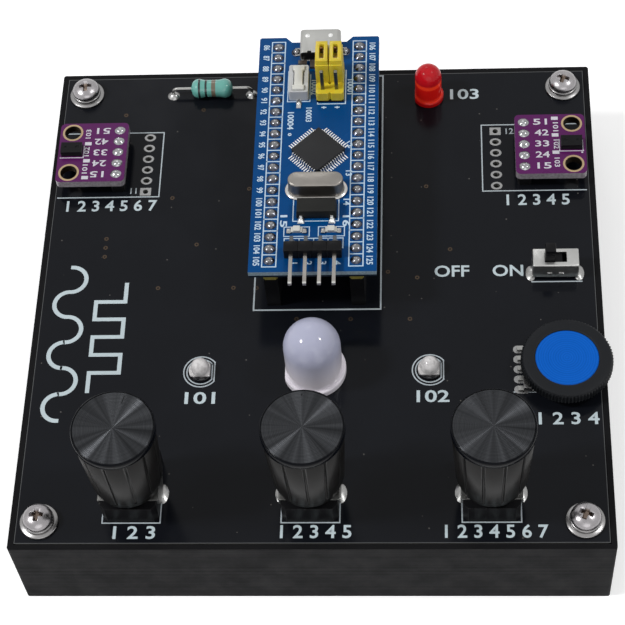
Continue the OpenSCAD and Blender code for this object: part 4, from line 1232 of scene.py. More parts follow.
def make_jumper(node, body):
    """A jumper cap: a tall body with a slimmer head, whose window shows the folded contact."""
    x, y = place_of(node)
    foot, top = low(node, Z), high(node, Z)
    wide, deep, tall = extent(node, X), extent(node, Y), top - foot - 1.2
    cap = block(node + "_cap", (x, y, foot + tall / 2), (wide, deep, tall))
    head = block("head", (x, y, top - 0.8), (wide - 0.3, deep - 0.3, 1.6))
    cut(cap, head, "UNION")
    cut(cap, block("window", (x, y, top - 0.5), (0.85, 2.7, 2.2)))
    for side in (-1, 1):
        cut(cap, block("well", (x, y + side * PIN_PITCH / 2, (foot + top) / 2), (0.74, 0.74, 9)))
    bevel(cap, sizes().cap_edge / MM, 2, 40)
    gather(node + "_cap", [cap], "yellow_plastic", 50, body, [node])
    contact = [
        block("contact", (x + 0.34, y, top - 1.1), (0.12, 2.3, 0.9), 0.03, 1),
        block("contact", (x - 0.1, y + 1.05, top - 0.75), (0.5, 0.35, 0.9), 0.05, 1),
        block("contact", (x - 0.1, y - 1.05, top - 0.95), (0.5, 0.35, 0.7), 0.05, 1),
    ]
    gather(node + "_contact", contact, "contact_bronze", None, body)


PIN_WIDTH = 0.64


def make_boot_pins():
    """Six square pins, a little lower than the caps, and a black band painted as the shadow under their yellow
    strip.
    """
    node = "boot_pins"
    x, y = place_of(node)
    foot, top = low(node, Z), high(node, Z) - 1.1
    pins = []
    for side in (-0.5, 0.5):
        for row in (-1, 0, 1):
            place = (x + side * PIN_PITCH, y + row * PIN_PITCH, (foot + top) / 2)
            pins.append(block("pin", place, (PIN_WIDTH, PIN_WIDTH, top - foot), 0.1, 1))
    gather("boot_posts", pins, "boot_tin", None, ROOT, [node])
    x, y = place_of("boot_header")
    size = (extent("boot_header", X) - 0.1, extent("boot_header", Y) + 0.03, 0.5)
    # painted shadow: a black band round the foot of the yellow strip
    gap = block("gap", (x, y, DECK + 0.25), size, 0.04)
    finish_piece(gap, "boot_gap", "black_plastic")


def make_usb_shell():
    """A sheet-metal shell with round edges, two ears and dimples, and the dark moulding inside it."""
    node = "usb_shell"
    low_corner, high_corner = corners(node)
    ear = 1.05
    x0, x1 = low_corner.x + ear, high_corner.x - ear
    y0, y1 = low_corner.y, high_corner.y
    z0, z1 = low_corner.z, high_corner.z
    x, y, z = (x0 + x1) / 2, (y0 + y1) / 2, (z0 + z1) / 2
    wide = x1 - x0
    shell = block("shell", (x, y, z), (wide, y1 - y0, z1 - z0))
    edit(shell)
    mesh = bmesh.from_edit_mesh(shell.data)
    bpy.ops.mesh.select_all(action="DESELECT")
    bpy.ops.mesh.select_mode(type="EDGE")
    for line in mesh.edges:
        along = (line.verts[0].co - line.verts[1].co).normalized()
        line.select_set(abs(along.y) > 0.9)
    bmesh.update_edit_mesh(shell.data)
    bpy.ops.mesh.bevel(offset=0.75 * MM, segments=5, affect="EDGES")
    bpy.ops.mesh.select_mode(type="FACE")
    leave_edit()
    cut(shell, block("hollow", (x, y, z), (wide - 0.5, 8, z1 - z0 - 0.5), 0.4, 3))
    cut(shell, block("mouth", (x - 2.0, y0, z1), (0.7, 0.8, 1.4)))
    bevel(shell, 0.08, 2, 40)
    ears, solder = [], []
    for side in (-1, 1):
        ears.append(block("ear", (x + side * (wide + 0.8) / 2, y0 + 2.2, z0 + 0.14), (1.3, 1.8, 0.26), 0.08))
        stations = [(1.0, z0), *dome(0.75, z0, z0 + 0.05, 5)[1:]]
        solder.append(turned("blob", (x + side * (wide / 2 + 0.75), y0 + 2.2), stations, 16))
    gather("usb_cover", [shell, *ears], "shell_metal", 45, ROOT, [node])
    gather("usb_solder", solder, "solder", 60)
    plug = block("plug", (x, y0 + 0.8, z), (wide - 0.7, 1.3, z1 - z0 - 0.7), 0.12)
    gather("usb_plug", [plug], "black_plastic", 45)
    stations = [(0.5, z1 - 0.04), (0.42, z1 + 0.02), (TIP, z1 + 0.05)]
    dimples = [turned("dimple", (x + dx, y1 - 1.5), stations, 16) for dx in (-2.4, 1.9)]
    # painted highlight: the dimples take the brighter lead tin
    gather("usb_dimples", dimples, "lead_tin", 60)
    leads = [
        block("lead", (x + (i - 2) * 0.65, y0 - 0.1, z0 + 0.12), (0.26, 0.9, 0.2), 0.04, 1)
        for i in range(5)
    ]
    leads.append(block("lead", (x0 + 0.5, y0 - 0.05, z0 + 0.3), (0.5, 0.5, 0.55), 0.06, 1))
    gather("usb_leads", leads, "lead_tin")


def make_crystal_can():
    """A long can on a flange, both with round ends: turned, then drawn out along X."""
    node = "crystal_can"
    x, y = place_of(node)
    foot, top = low(node, Z), high(node, Z)
    edge = extent(node, Y) / 2
    stretch = extent(node, X) / 2 - edge
    can = edge - 0.62
    stations = [(edge - 0.12, foot), (edge, foot + 0.12), (edge, foot + 0.3), (edge - 0.12, foot + 0.42)]
    flange = turned("flange", (x, y), stations + [(can + 0.2, foot + 0.5), (TIP, foot + 0.5)], 64)
    stations = [(can + 0.14, foot + 0.45), (can + 0.1, foot + 0.54), (can, foot + 0.66)]
    stations += [(can - 0.05, top - 0.36), (can - 0.09, top - 0.2), (can - 0.19, top - 0.07)]
    cover = turned("can", (x, y), stations + [(can - 0.35, top), (TIP, top)], 64)

    def draw_out(place):
        if abs(place.x / MM - x) > 0.001:
            place.x += math.copysign(stretch, place.x / MM - x) * MM

    move_points(cover, draw_out)
    move_points(flange, draw_out)
    gather("crystal_flange", [flange], "flange_metal", 35)
    gather("crystal_cover", [cover], "can_metal", 35, ROOT, [node])


# side of the middle on which each screw stands along X and Y, and the turn of its cross in degrees
SCREWS = [(-1, 1, -6), (1, 1, 20), (-1, -1, 2), (1, -1, 22)]


def make_screws():
    """Pan heads with a soft dome and a cross recess, on their shanks, and the washers under them."""
    node = "corner_screws"
    end, foot, top = low(node, Z), high("spring_washers", Z), high(node, Z)
    r = high(node, X) - SCREW_REACH
    stations = [(0.9, end), (1.45, end + 0.5), (1.45, foot), (r - 0.12, foot), (r, foot + 0.12)]
    stations += [(r, foot + 0.5), (r - 0.1, foot + 0.85), (r - 0.35, foot + 1.2), (r - 0.75, foot + 1.5)]
    stations += [(r - 1.3, foot + 1.76), (r - 1.95, top - 0.07), (TIP, top)]
    heads = []
    for x_side, y_side, angle in SCREWS:
        x, y = x_side * SCREW_REACH, y_side * SCREW_REACH
        head = turned("head", (x, y), stations, 48)

        def narrow(place):
            if place.z / MM < top - 0.5:
                place.x, place.y = drawn_in(place.x, x, 0.3), drawn_in(place.y, y, 0.6)

        for blade_turn in (angle, angle + 90):
            blade = block("blade", (x, y, top - 0.1), (4.1, 1.0, 2.0))
            move_points(blade, narrow)
            edit(blade)
            bpy.ops.transform.rotate(
                value=math.radians(blade_turn), orient_axis="Z", center_override=point(x, y, top)
            )
            leave_edit()
            cut(head, blade)
        bevel(head, 0.13, 3, 50)
        soften(head, 60)
        heads.append(head)
    gather("screw_heads", heads, "screw_steel", None, ROOT, [node])
    rings = []
    flat, spring = high("flat_washers", X) - SCREW_REACH, high("spring_washers", X) - SCREW_REACH
    level = high("flat_washers", Z)
    for x in (-SCREW_REACH, SCREW_REACH):
        for y in (-SCREW_REACH, SCREW_REACH):
            for outer, z0, z1 in ((flat, TOP, level), (spring, level + 0.02, foot - 0.02)):
                stations = [(1.6, z0), (outer - 0.1, z0), (outer, z0 + 0.12), (outer, z1 - 0.12)]
                stations += [(outer - 0.12, z1), (1.6, z1), (1.6, z0)]
                rings.append(turned("washer", (x, y), stations, 48, closed=True))
    gather("washer_rings", rings, "nickel", 50, ROOT, ["flat_washers", "spring_washers"])


def make_reset():
    """The white key of the reset switch, a bar with two wide ends, and the grey cheeks beside it."""
    node = "reset_button"
    x, y = place_of(node)
    z, tall = middle(node, Z), extent(node, Z)
    wide, deep = extent(node, X), extent(node, Y)
    slim, end = 1.55, 1.05
    key = [block("bar", (x, y, z), (slim, deep - 0.4, tall - 0.02), 0.1, 2)]
    key += [block("end", (x, y + side * (deep - end) / 2, z), (wide, end, tall), 0.12, 3) for side in (-1, 1)]
    gather("reset_key", key, "white_plastic", 50, "reset", [node])
    top, cheek = high("reset_switch", Z), (wide - slim) / 2 - 0.04
    size = (cheek, deep - 2 * end - 0.3, 1.2)
    cheeks = [
        block("cheek", (x + side * (slim / 2 + 0.14 + cheek / 2), y, top - 0.6), size, 0.08)
        for side in (-1, 1)
    ]
    gather("reset_cheeks", cheeks, "grey_plastic", 45)


def make_lamp(node, places, body_r, collar_r, collar_height, finish_name, side):
    """Cast lamps at their places: a dome on a post, over a soft-edged collar with a flat on one side
    (-1 is its left, 1 its right)."""
    foot, top = low(node, Z), high(node, Z)
    rest = foot + collar_height
    limit = (body_r + 0.1) * MM
    stations = [(collar_r - 0.1, foot), (collar_r, foot + 0.1), (collar_r, rest - 0.15)]
    stations += [(collar_r - 0.15, rest), (body_r + 0.15, rest)] + dome(body_r, rest + 0.15, top - body_r, 12)
    made = []
    for x, y in places:
        lamp = turned("lamp", (x, y), stations, 64)

        def flatten(place):
            if (place.x - x * MM) * side > limit:
                place.x = x * MM + limit * side

        move_points(lamp, flatten)
        made.append(lamp)
    gather(node + "_body", made, finish_name, 40, ROOT, [node])


def make_lamps():
    """The red and the milky lamp, which touch the right side of their solid, and the two clear ones."""
    for node, body_r, collar_r, collar_height, finish_name in (
        ("red_lamp", 2.5, 2.9, 1.0, "red_lens"),
        ("colour_lamp", 5.0, 5.6, 1.4, "milky_lens"),
    ):
        place = (high(node, X) - collar_r, middle(node, Y))
        make_lamp(node, [place], body_r, collar_r, collar_height, finish_name, -1)
    make_lamp("clear_lamps", SMALL_LAMPS, 1.6, 2.1, 0.9, "clear_lens", 1)


def make_inductor():
    """A lacquered body with two round ends and a waist, drawn along X."""
    node = "inductor"
    r, half = extent(node, Y) / 2, extent(node, X) / 2
    outline = [(0.3, 0), (0.42, 0.05), (0.75, 0.18), (1.15, 0.3), (1.5, 0.55), (r - 0.12, 0.95), (r, 1.4)]
    outline += [(r, 1.75), (r - 0.1, 2.15), (r - 0.2, 2.6), (r - 0.22, half)]
    stations = outline + [(radius, 2 * half - along) for radius, along in reversed(outline[:-1])]
    body = turned("body", (0, 0), stations, 48)
    body.rotation_euler = (0, math.radians(90), 0)
    body.location = point(low(node, X), middle(node, Y), middle(node, Z))
    apply_place(body)
    gather("inductor_body", [body], "green_lacquer", 40, ROOT, [node])


def make_switch_shell():
    """The folded cover of the slide switch: soft bends, a slot and dimples in its long sides."""
    node = "switch_shell"
    x, y = place_of(node)
    top = high(node, Z)
    wide, deep, tall, sheet = extent(node, X), 3.85, top - TOP, 0.3
    cover = block("cover", (x, y, top - (tall - 0.5) / 2), (wide, deep, tall - 0.5), 0.28, 3)
    inside = (wide - 2 * sheet, deep - 2 * sheet, tall - sheet)
    cut(cover, block("inside", (x, y, TOP + (tall - sheet) / 2), inside))
    cut(cover, block("slot", (x, y, top), (3.95, 2.2, 3), 0.15))
    for side in (-1, 1):
        for dx in (-1.05, 1.05):
            cut(cover, block("pit", (x + dx, y + side * deep / 2, TOP + 2.2), (0.9, 0.24, 0.6), 0.1))
    tabs = [
        block("tab", (x + side * (wide - sheet) / 2, y, TOP - 1.0), (sheet, 1.4, 4), 0.05, 1)
        for side in (-1, 1)
    ]
    gather("switch_cover", [cover, *tabs], "cover_metal", 45, ROOT, [node])


def make_slider():
    """The slider of the switch: a foot and a tower with two ribs scored round it."""
    node = "switch_slider"
    x, y = place_of(node)
    z0, z1 = low(node, Z), high(node, Z)
    foot = block("foot", (x, y, z0 + 0.7), (extent(node, X), extent(node, Y), 1.4), 0.08)
    tower = block("tower", (x, y, (z0 + 1.2 + z1) / 2), (1.85, 1.9, z1 - z0 - 1.2), 0.16, 3)
    for level in (1.0, 1.6):
        rib = block("rib", (x, y, z1 - level), (2.4, 2.4, 0.12))
        cut(tower, cut(rib, block("inner", (x, y, z1 - level), (1.7, 1.75, 1))))
    gather("slider_tower", [foot, tower], "black_plastic", 45, "slider", [node])


# ---- Print, pads and solder ----


def ring_mark(place, inner, outer, level, sides=24, thick=0.03):
    """A flat ring printed or plated round a place (x, y)."""
    stations = [(inner, level), (outer, level), (outer, level + thick), (inner, level + thick), (inner, level)]
    return turned("ring", place, stations, sides, closed=True)


def stretched(obj, place, factors):
    """Stretches a piece about a place (x, y)."""
    edit(obj)
    bpy.ops.transform.resize(value=(*factors, 1), center_override=point(*place, 0))
    leave_edit()
    return obj


def mound(place, radius, height, level, stretch=(1, 1), lean=(0, 0), sides=18):
    """A mound of solder: steep at its foot, rounded at its top, which may lean to one side."""
    profile = [(1, 0), (0.86, 0.26), (0.66, 0.6), (0.42, 0.86), (0.2, 0.97), (TIP, 1)]
    obj = turned("mound", place, [(radius * r, level + height * h) for r, h in profile], sides)
    stretched(obj, place, stretch)

    def lean_over(place):
        share = (place.z / MM - level) / height
        place.x += lean[0] * share * MM
        place.y += lean[1] * share * MM

    move_points(obj, lean_over)
    return obj


def print_numbers(name, level, material, entries, weight=0.012, thick=0.03):
    """Numbers as one flat piece; each entry is text, x, y, height, width and turn."""
    made = []
    for text, x, y, height, *more in entries:
        width = more[0] if more else None
        turn = more[1] if len(more) > 1 else 0
        made.append(lettering(text, (x, y), height, level, width, weight, turn, thick))
    gather(name, made, material)


PLACE_NUMBERS = [
    # text, middle x and y, height, width
    ("1 2 3 4 5 6 7", -39.4, 19.45, 2.35, 17.1),
    ("1 2 3 4 5", 40.2, 19.6, 2.35, 11.6),
    ("OFF    ON", 29.3, 3.95, 2.35, 16.0),
    ("1 2 3 4", 43.8, -26.6, 2.3, 10.4),
    ("1 2 3", -29.9, -48.1, 2.3, 7.2),
    ("1 2 3 4 5", 0.8, -48.0, 2.35, 12.0),
    ("1 2 3 4 5 6 7", 30.9, -48.0, 2.35, 17.2),
    ("103", 26.95, 44.65, 2.35, 5.5),
    ("101", -20.0, -22.1, 2.3, 5.4),
    ("102", 20.45, -22.05, 2.3, 5.7),
]
SPARE_ROWS = [(-32.9, 29.1), (32.9, 29.35)]
POT_MIDDLES = (-30.3, 0.1, 30.5)
SMALL_LAMPS = [(-20.1, -16.65), (20.3, -16.6)]
VIAS = [
    (-38.0, 41.0), (-23.0, 42.0), (-27.7, 21.2), (-39.4, 12.1), (-39.4, 10.1), (-39.4, 8.1),
    (-22.5, 10.6), (-29.0, 1.1), (-15.2, 1.0), (-11.0, 0.9), (-13.3, 23.1), (12.8, 4.1),
    (6.2, -5.9), (-3.5, -5.8), (19.8, 23.1), (24.1, 8.9), (18.1, 2.8), (16.8, -6.0),
]


def print_lid():
    """Numbers, two plain waves, outlines and a pale line painted along the edge of the lid board as its
    highlight.
    """
    line = sizes().line / MM
    print_numbers("lid_numbers", TOP, "white_print", PLACE_NUMBERS, 0.018)
    stroke = sizes().wave_stroke / MM
    waves = Print("lid_waves", TOP)
    x, y, swing = -45.05, 5.8, 2.68
    for i in range(6):
        start = 90 if i % 2 else -90
        waves.arc((x, y - swing * (2 * i + 1)), swing, stroke, start, start + 180, 24)
    x, y, swing, step = -37.45, 1.95, 2.67, 3.73
    corners = [(x - swing, y)]
    for i in range(6):
        side = 1 if i % 2 else -1
        corners += [(x - side * swing, y - i * step), (x - side * swing, y - (i + 1) * step)]
    waves.path(corners[1:], stroke)
    finish_piece(waves.close(), "lid_waves", "white_print")
    marks = Print("lid_outlines", TOP)
    marks.path([(-49.5, 36.65), (-30.3, 36.65), (-30.3, 21.55), (-49.5, 21.55)], line)
    marks.path([(49.4, 37.2), (30.3, 37.2), (30.3, 21.8), (49.4, 21.8)], line)
    marks.frame(-11.34, -3.88, 11.56, 49.62, line * 1.3)
    for x in POT_MIDDLES:
        marks.path([(x - 4.95, -42), (x - 4.95, -46.2), (x + 4.95, -46.2), (x + 4.95, -42)], line)
    marks.path([(38.7, 1.6), (47.65, 1.6)], line)
    marks.path([(34.9, -21.2), (38.8, -21.2)], line)
    for x, y in SMALL_LAMPS:
        marks.arc((x, y), 3.07, line, 39, 321, 48)
        marks.bar((x + 2.39, y - 1.93), (x + 2.39, y + 1.93), line)
        marks.arc((x, y), 2.5, line, 38, 322, 40)
        marks.bar((x + 1.97, y - 1.54), (x + 1.97, y + 1.54), line)
    finish_piece(marks.close(), "lid_outlines", "fine_print")
    # painted highlight: a pale line along the top of the board's cut edge
    edge = Print("lid_edge", TOP - 0.02)
    reach = 49.93
    edge.frame(-reach, -reach, reach, reach, 0.13)
    finish_piece(edge.close(), "lid_edge", "cut_edge")
    print_numbers("lid_small_numbers", TOP, "fine_print", [("11", -35.2, 22.9, 1.3), ("12", 35.45, 35.6, 1.3)])


def plate_lid():
    """Pads, vias and solder of the lid board."""
    pads = []
    for x, y in SPARE_ROWS:
        ends = [y + (i - 2.5) * PIN_PITCH for i in range(6)]
        square = ends[0] if x < 0 else ends[-1]
        for level in ends:
            if level == square:
                pad = block("pad", (x, level, TOP + 0.015), (2.1, 1.75, 0.03))
                hole = turned("hole", (x, level), [(0.5, TOP - 0.1), (0.5, TOP + 0.1)], 20)
                pads.append(cut(pad, hole))
            else:
                ring = ring_mark((x, level), 0.5, 0.86, TOP)
                pads.append(stretched(ring, (x, level), (1.25, 1)))
    for i in range(5):
        y = middle("wheel_ring", Y) + (i - 2) * 2.03
        pads.append(block("pad", (36.5, y, TOP + 0.015), (1.6, 1.56, 0.03), 0))
        pads.append(turned("pad", (35.7, y), [(0.78, TOP), (0.78, TOP + 0.04)], 24))
    gather("flat_pads", pads, "flat_tin")
    rings = [ring_mark(place, 0.18, 0.42, TOP, 16, 0.02) for place in VIAS]
    gather("vias", rings, "via_bronze")
    joints = []
    for x in POT_MIDDLES:
        for side in (-1, 1):
            place = (x + side * 5.1, -40.75)
            joints.append(mound(place, 1.25, 0.55, TOP, (0.82, 1.5), (-0.3 * side, 0.3)))
    for x, lean in ((38.55, 0.3), (47.2, -0.3)):
        joints.append(mound((x, 3.4), 0.95, 0.5, TOP, (1, 1.75), (lean, 0)))
    for x in (-29.0, -13.8):
        joints.append(mound((x, 45.6), 1.2, 0.7, TOP, (1, 0.95), (0.1, 0)))
    gather("lid_solder", joints, "pale_solder", 60)


ROW_X = 7.62
ROW_MIDDLE = 22.46
# how far the tops of the solder joints lean (mm), one after the other
LEANS = [
    (0.12, 0.1), (-0.15, 0.05), (0.05, -0.12), (0.18, -0.05), (-0.08, 0.14), (-0.02, -0.02), (0.1, -0.16),
]


def row_places():
    """The places along Y of a row of twenty pins."""
    return [ROW_MIDDLE + (i - 9.5) * PIN_PITCH for i in range(20)]


def print_controller():
    """Ladders round the pin rows, outlines round the parts, and plain numbers."""
    marks = Print("controller_lines", DECK, 0.025)
    rungs = [row_places()[0] - PIN_PITCH / 2 + i * PIN_PITCH for i in range(21)]
    inner, outer = 6.38, 8.86
    for side in (-1, 1):
        for x in (inner, outer):
            marks.bar((side * x, rungs[0]), (side * x, rungs[-1]), 0.2)
        for y in rungs:
            marks.bar((side * inner, y), (side * outer, y), 0.2)
    for x0, x1 in ((-5.2, -0.7), (0.9, 5.5)):
        marks.frame(x0, 3.45, x1, 5.45, 0.17)
    marks.path([(-3.7, 12), (-3.7, 6.7), (4.4, 6.7), (4.4, 12)], 0.17)
    marks.path([(-5.55, 40.8), (-5.55, 33.6), (-1.42, 33.6), (-1.42, 39.9)], 0.17)
    marks.path([(0.02, 40.8), (0.02, 32.95), (5.15, 32.95), (5.15, 40.8)], 0.2)
    marks.path([(-5.1, 1.0), (-5.1, 3.0), (5.3, 3.0), (5.3, 0.9), (4.9, 0.9)], 0.18)
    for x in (-2.45, 0.1, 2.65):
        marks.bar((x, 2.2), (x, 3.0), 0.18)
    for x in (1.2, 3.65):
        marks.bar((x - 0.35, 32.15), (x + 0.35, 32.15), 0.22)
        marks.bar((x, 31.95), (x, 32.3), 0.2)
    marks.arc((-4.9, 26.0), 0.22, 0.2, 0, 360, 12)
    finish_piece(marks.close(), "controller_lines", "board_print")
    entries = []
    for i, y in enumerate(reversed(row_places())):
        for side, number in ((-1, str(i + 86)), (1, str(i + 106))):
            entries.append((number, side * 9.95, y, 1.1, 0.6 * len(number), -90))
    entries += [
        ("10001", 5.95, 36.9, 1.05, 3.5, -90),
        ("10002", -0.75, 37.0, 1.05, 3.5, -90),
        ("10003", -1.6, 30.6, 1.05, 3.3, -90),
        ("10004", -4.9, 29.3, 1.1, 4.0, -90),
        ("12", 5.9, 23.6, 1.1, None, -50),
        ("13", 6.0, 17.2, 1.1, None, -90),
        ("14", 5.75, 10.9, 1.2, None, -90),
        ("15", -5.4, 7.0, 1.2, 2.6, -90),
        ("16", 5.7, 6.9, 1.2, 2.4, -90),
    ]
    entries += [(str(i + 1), -3.3 + i * 2.52, -2.2, 1.25, None, -90) for i in range(4)]
    print_numbers("controller_numbers", DECK, "board_print", entries, 0.02, 0.025)


def solder_controller():
    """Joints of the two pin rows, the header and the feet of the parts on the board."""
    joints = []
    for side in (-1, 1):
        for i, y in enumerate(row_places()):
            lean = LEANS[(i + 3 * (side > 0)) % len(LEANS)]
            size = 0.98 + 0.04 * (i * 5 % 3)
            joints.append(mound((side * ROW_X, y), size, 0.52, DECK, (1.05, 0.95), lean))
    gather("controller_solder", joints, "solder", 60)
    joints = [mound((0.1 + (i - 1.5) * PIN_PITCH, 2.25), 0.7, 0.4, DECK, (1, 0.8)) for i in range(4)]
    for x in (-4.35, -1.55, 1.75, 4.55):
        joints.append(block("pad", (x, 4.45, DECK + 0.2), (0.8, 1.0, 0.4), 0.12))
    joints.append(mound((-3.45, 33.2), 0.7, 0.5, DECK, (0.75, 1.3), (0, 0.25)))
    joints.append(mound((-3.45, 41.9), 0.7, 0.4, DECK, (0.75, 1.0)))
    gather("part_solder", joints, "pale_solder", 60)


def make_clock():
    """The small black crystal: a slanted body on a low step, and two feet in bright wedges of solder."""
    node = "clock_crystal"
    low_corner, high_corner = corners(node)
    x, foot, top = middle(node, X), low_corner.z, high_corner.z
    front, end = low_corner.y, high_corner.y
    rear = end - 0.73
    body = block("clock", (x, (front + rear) / 2, (foot + top) / 2), (7.2, rear - front, top - foot))

    def slant(place):
        if place.z / MM > foot + 1:
            place.x = drawn_in(place.x, x, 0.95)

    move_points(body, slant)
    bevel(body, 0.1, 2)
    step = block("step", (x, (rear + end) / 2 - 0.1, foot + 0.2), (7.0, end - rear + 0.2, 0.4), 0.05)
    gather("clock_body", [body, step], "clock_plastic", 40, ROOT, [node])
    wedges = []
    for at in (x - 2.75, x + 2.75):
        wedge = block("wedge", (at, front - 0.55, DECK + 0.3), (1.3, 1.2, 0.6))

        def taper(place):
            if place.z / MM > DECK + 0.3:
                place.x = drawn_in(place.x, at, 0.45)
                if place.y / MM < front - 0.6:
                    place.y += 0.55 * MM

        move_points(wedge, taper)
        bevel(wedge, 0.1, 2, 20)
        wedges += [wedge, block("riser", (at, front - 0.12, DECK + 0.75), (0.5, 0.2, 0.7), 0.05)]
    gather("clock_feet", wedges, "lead_tin", 50)


def gull_lead(height, reach, width):
    """One gull-wing lead along +X: a shoulder at a height, a slanted leg and a flat foot."""
    lead = block("lead", (reach / 2 - 0.1, 0, 0.07), (reach + 0.2, width, 0.12))
    for x in (0.3, 0.55):
        edit(lead)
        bpy.ops.mesh.bisect(plane_co=point(x, 0, 0), plane_no=(1, 0, 0))
        leave_edit()

    def lift(place):
        if place.x / MM < 0.4:
            place.z += height * MM

    move_points(lead, lift)
    return lead


def make_leads():
    """Leads of the flat chip, and of the converter below the lid."""
    centre = Vector((*place_of("processor"), DECK))
    moves, turns = [], []
    for turn in (45, 135, 225, 315):
        out = Vector((math.cos(math.radians(turn)), math.sin(math.radians(turn)), 0))
        along = Vector((-out.y, out.x, 0))
        for i in range(12):
            moves.append(centre + out * 3.45 + along * (i - 5.5) * 0.5)
            turns.append(turn)
    made = copies(gull_lead(0.6, 1.4, 0.2), moves, turns)
    x, y = place_of("audio_chip")
    below = gull_lead(0.9, 1.05, 0.4)
    below.scale.z = -1
    apply_place(clean(below))
    under = low("panel_board", Z)
    moves = [(x + side * 1.95, y + (i - 3.5) * 1.27, under) for side in (1, -1) for i in range(8)]
    made += copies(below, moves, [0] * 8 + [180] * 8)
    gather("gull_leads", made, "lead_tin", None, ROOT, ["chip_leads"])


def make_debug_header():
    """The black strip of four, with its rear top edge cut back."""
    node = "debug_header"
    wide, y, z = extent(node, X) / 4, middle(node, Y), middle(node, Z)

    def cut_back(place):
        if place.y / MM > y and place.z / MM > z:
            place.y -= 0.45 * MM

    made = []
    for i in range(4):
        centre = (low(node, X) + (i + 0.5) * wide, y, z)
        part = block("strip", centre, (wide, extent(node, Y), extent(node, Z)))
        move_points(part, cut_back)
        bevel(part, 0.16, 2, 20)
        made.append(part)
    gather("debug_strip", made, "black_plastic", 40, ROOT, [node])


def make_processor():
    """The flat chip body, turned by half a right angle, low enough to show its leads all round."""
    node = "processor"
    side = extent(node, X) / math.sqrt(2) - 0.1
    body = block("chip", (*place_of(node), low(node, Z) + 0.54), (side, side, 1.08), 0.1, 2, 45)
    gather("processor_body", [body], "chip_plastic", 40, ROOT, [node])


def dress_sensors():
    """Solder, plated rings and print of the two sensor boards; the left one is turned half round."""
    joints, rings, sleeves, entries = [], [], [], []
    marks = Print("sensor_lines", SENSOR_LEVEL, 0.025)
    for side, node in ((-1, "left_sensor_board"), (1, "right_sensor_board")):
        cx, cy = place_of(node)
        for i in range(5):
            y = cy + (i - 2) * PIN_PITCH
            lean = LEANS[(i + 2 * side) % len(LEANS)]
            place = (cx - side * 4.85, y)
            joints.append(mound(place, 0.98, 0.5, SENSOR_LEVEL, (1.08, 0.98), lean))
            turn = 0 if side > 0 else 180
            number = str(i + 1) + str(5 - i)
            entries.append((number, cx - side * 1.5, y, 1.35, 2.6, turn))
        for end in (-1, 1):
            place = (cx + side * 4.1, cy + end * 4.65)
            rings.append(ring_mark(place, 1.58, 1.95, SENSOR_LEVEL, 40, 0.025))
            sleeves.append(ring_mark(place, 1.5, 1.59, low(node, Z) + 0.02, 40, extent(node, Z) - 0.02))
        chip_x, chip_y = cx + side * 3.85, cy - side * 0.25
        near, far = chip_x - side * 2.2, chip_x + side * 2.2
        marks.path([(near, chip_y + 1.2), (near, chip_y - 1.5), (far, chip_y - 1.5)], 0.16)
        if side > 0:
            marks.bar((chip_x + 2.1, chip_y - 1.5), (chip_x + 2.1, chip_y + 1.0), 0.12)
            marks.bar((chip_x + 1.9, chip_y - 1.85), (chip_x + 1.95, chip_y - 1.85), 0.3)
        column = cx + side * 0.95
        for y in (5.9, 2.0, -2.0) if side > 0 else (-5.9, -2.0, 2.0):
            marks.bar((column - 0.25, cy + y), (column + 0.25, cy + y), 0.75)
        turn = -90 if side > 0 else 90
        for text, y in (("101", 3.9), ("102", 0.0), ("103", -4.2)):
            entries.append((text, column + side * 0.1, cy + side * y, 0.95, 2.1, turn))
    finish_piece(marks.close(), "sensor_lines", "sensor_print")
    print_numbers("sensor_numbers", SENSOR_LEVEL, "sensor_print", entries, 0.015, 0.025)
    gather("hole_rings", rings, "ring_print")
    gather("hole_sleeves", sleeves, "via_bronze")
    gather("sensor_solder", joints, "glossy_solder", 60)


# ---- Operators, panel and main ----


class THEREMIN_OT_stage(bpy.types.Operator):
    """Builds the floor, the lamps, the world and the camera"""

    bl_idname = "theremin.stage"
    bl_label = "Stage"

    def execute(self, context):
        build_stage()
        return {"FINISHED"}


class THEREMIN_OT_frame_finishes(bpy.types.Operator):
    """Gives each CAD node its finish"""

    bl_idname = "theremin.frame_finishes"
    bl_label = "Frame finishes"

    def execute(self, context):
        dress_frame()
        return {"FINISHED"}


class THEREMIN_OT_knobs(bpy.types.Operator):
    """Models the three grooved knobs with their spun discs"""

    bl_idname = "theremin.knobs"
    bl_label = "Knobs"

    def execute(self, context):
        for side in KNOBS:
            make_knob(side)
        return {"FINISHED"}


class THEREMIN_OT_thumb_wheel(bpy.types.Operator):
    """Models the knurled wheel and its blue disc"""

    bl_idname = "theremin.thumb_wheel"
    bl_label = "Thumb wheel"

    def execute(self, context):
        make_wheel()
        return {"FINISHED"}


class THEREMIN_OT_screws(bpy.types.Operator):
    """Models the four pan-head screws"""

    bl_idname = "theremin.screws"
    bl_label = "Screws"

    def execute(self, context):
        make_screws()
        return {"FINISHED"}


class THEREMIN_OT_jumpers(bpy.types.Operator):
    """Models the six pins and the two jumper caps with their contacts"""

    bl_idname = "theremin.jumpers"
    bl_label = "Jumpers"

    def execute(self, context):
        make_boot_pins()
        make_jumper("left_jumper", "jumper_left")
        make_jumper("right_jumper", "jumper_right")
        return {"FINISHED"}


class THEREMIN_OT_usb_socket(bpy.types.Operator):
    """Models the sheet-metal shell of the USB socket"""

    bl_idname = "theremin.usb_socket"
    bl_label = "USB socket"

    def execute(self, context):
        make_usb_shell()
        return {"FINISHED"}


class THEREMIN_OT_crystal(bpy.types.Operator):
    """Models the crystal can with its flange"""

    bl_idname = "theremin.crystal"
    bl_label = "Crystal can"

    def execute(self, context):
        make_crystal_can()
        return {"FINISHED"}


class THEREMIN_OT_reset_key(bpy.types.Operator):
    """Models the white key of the reset switch"""

    bl_idname = "theremin.reset_key"
    bl_label = "Reset key"

    def execute(self, context):
        make_reset()
        return {"FINISHED"}


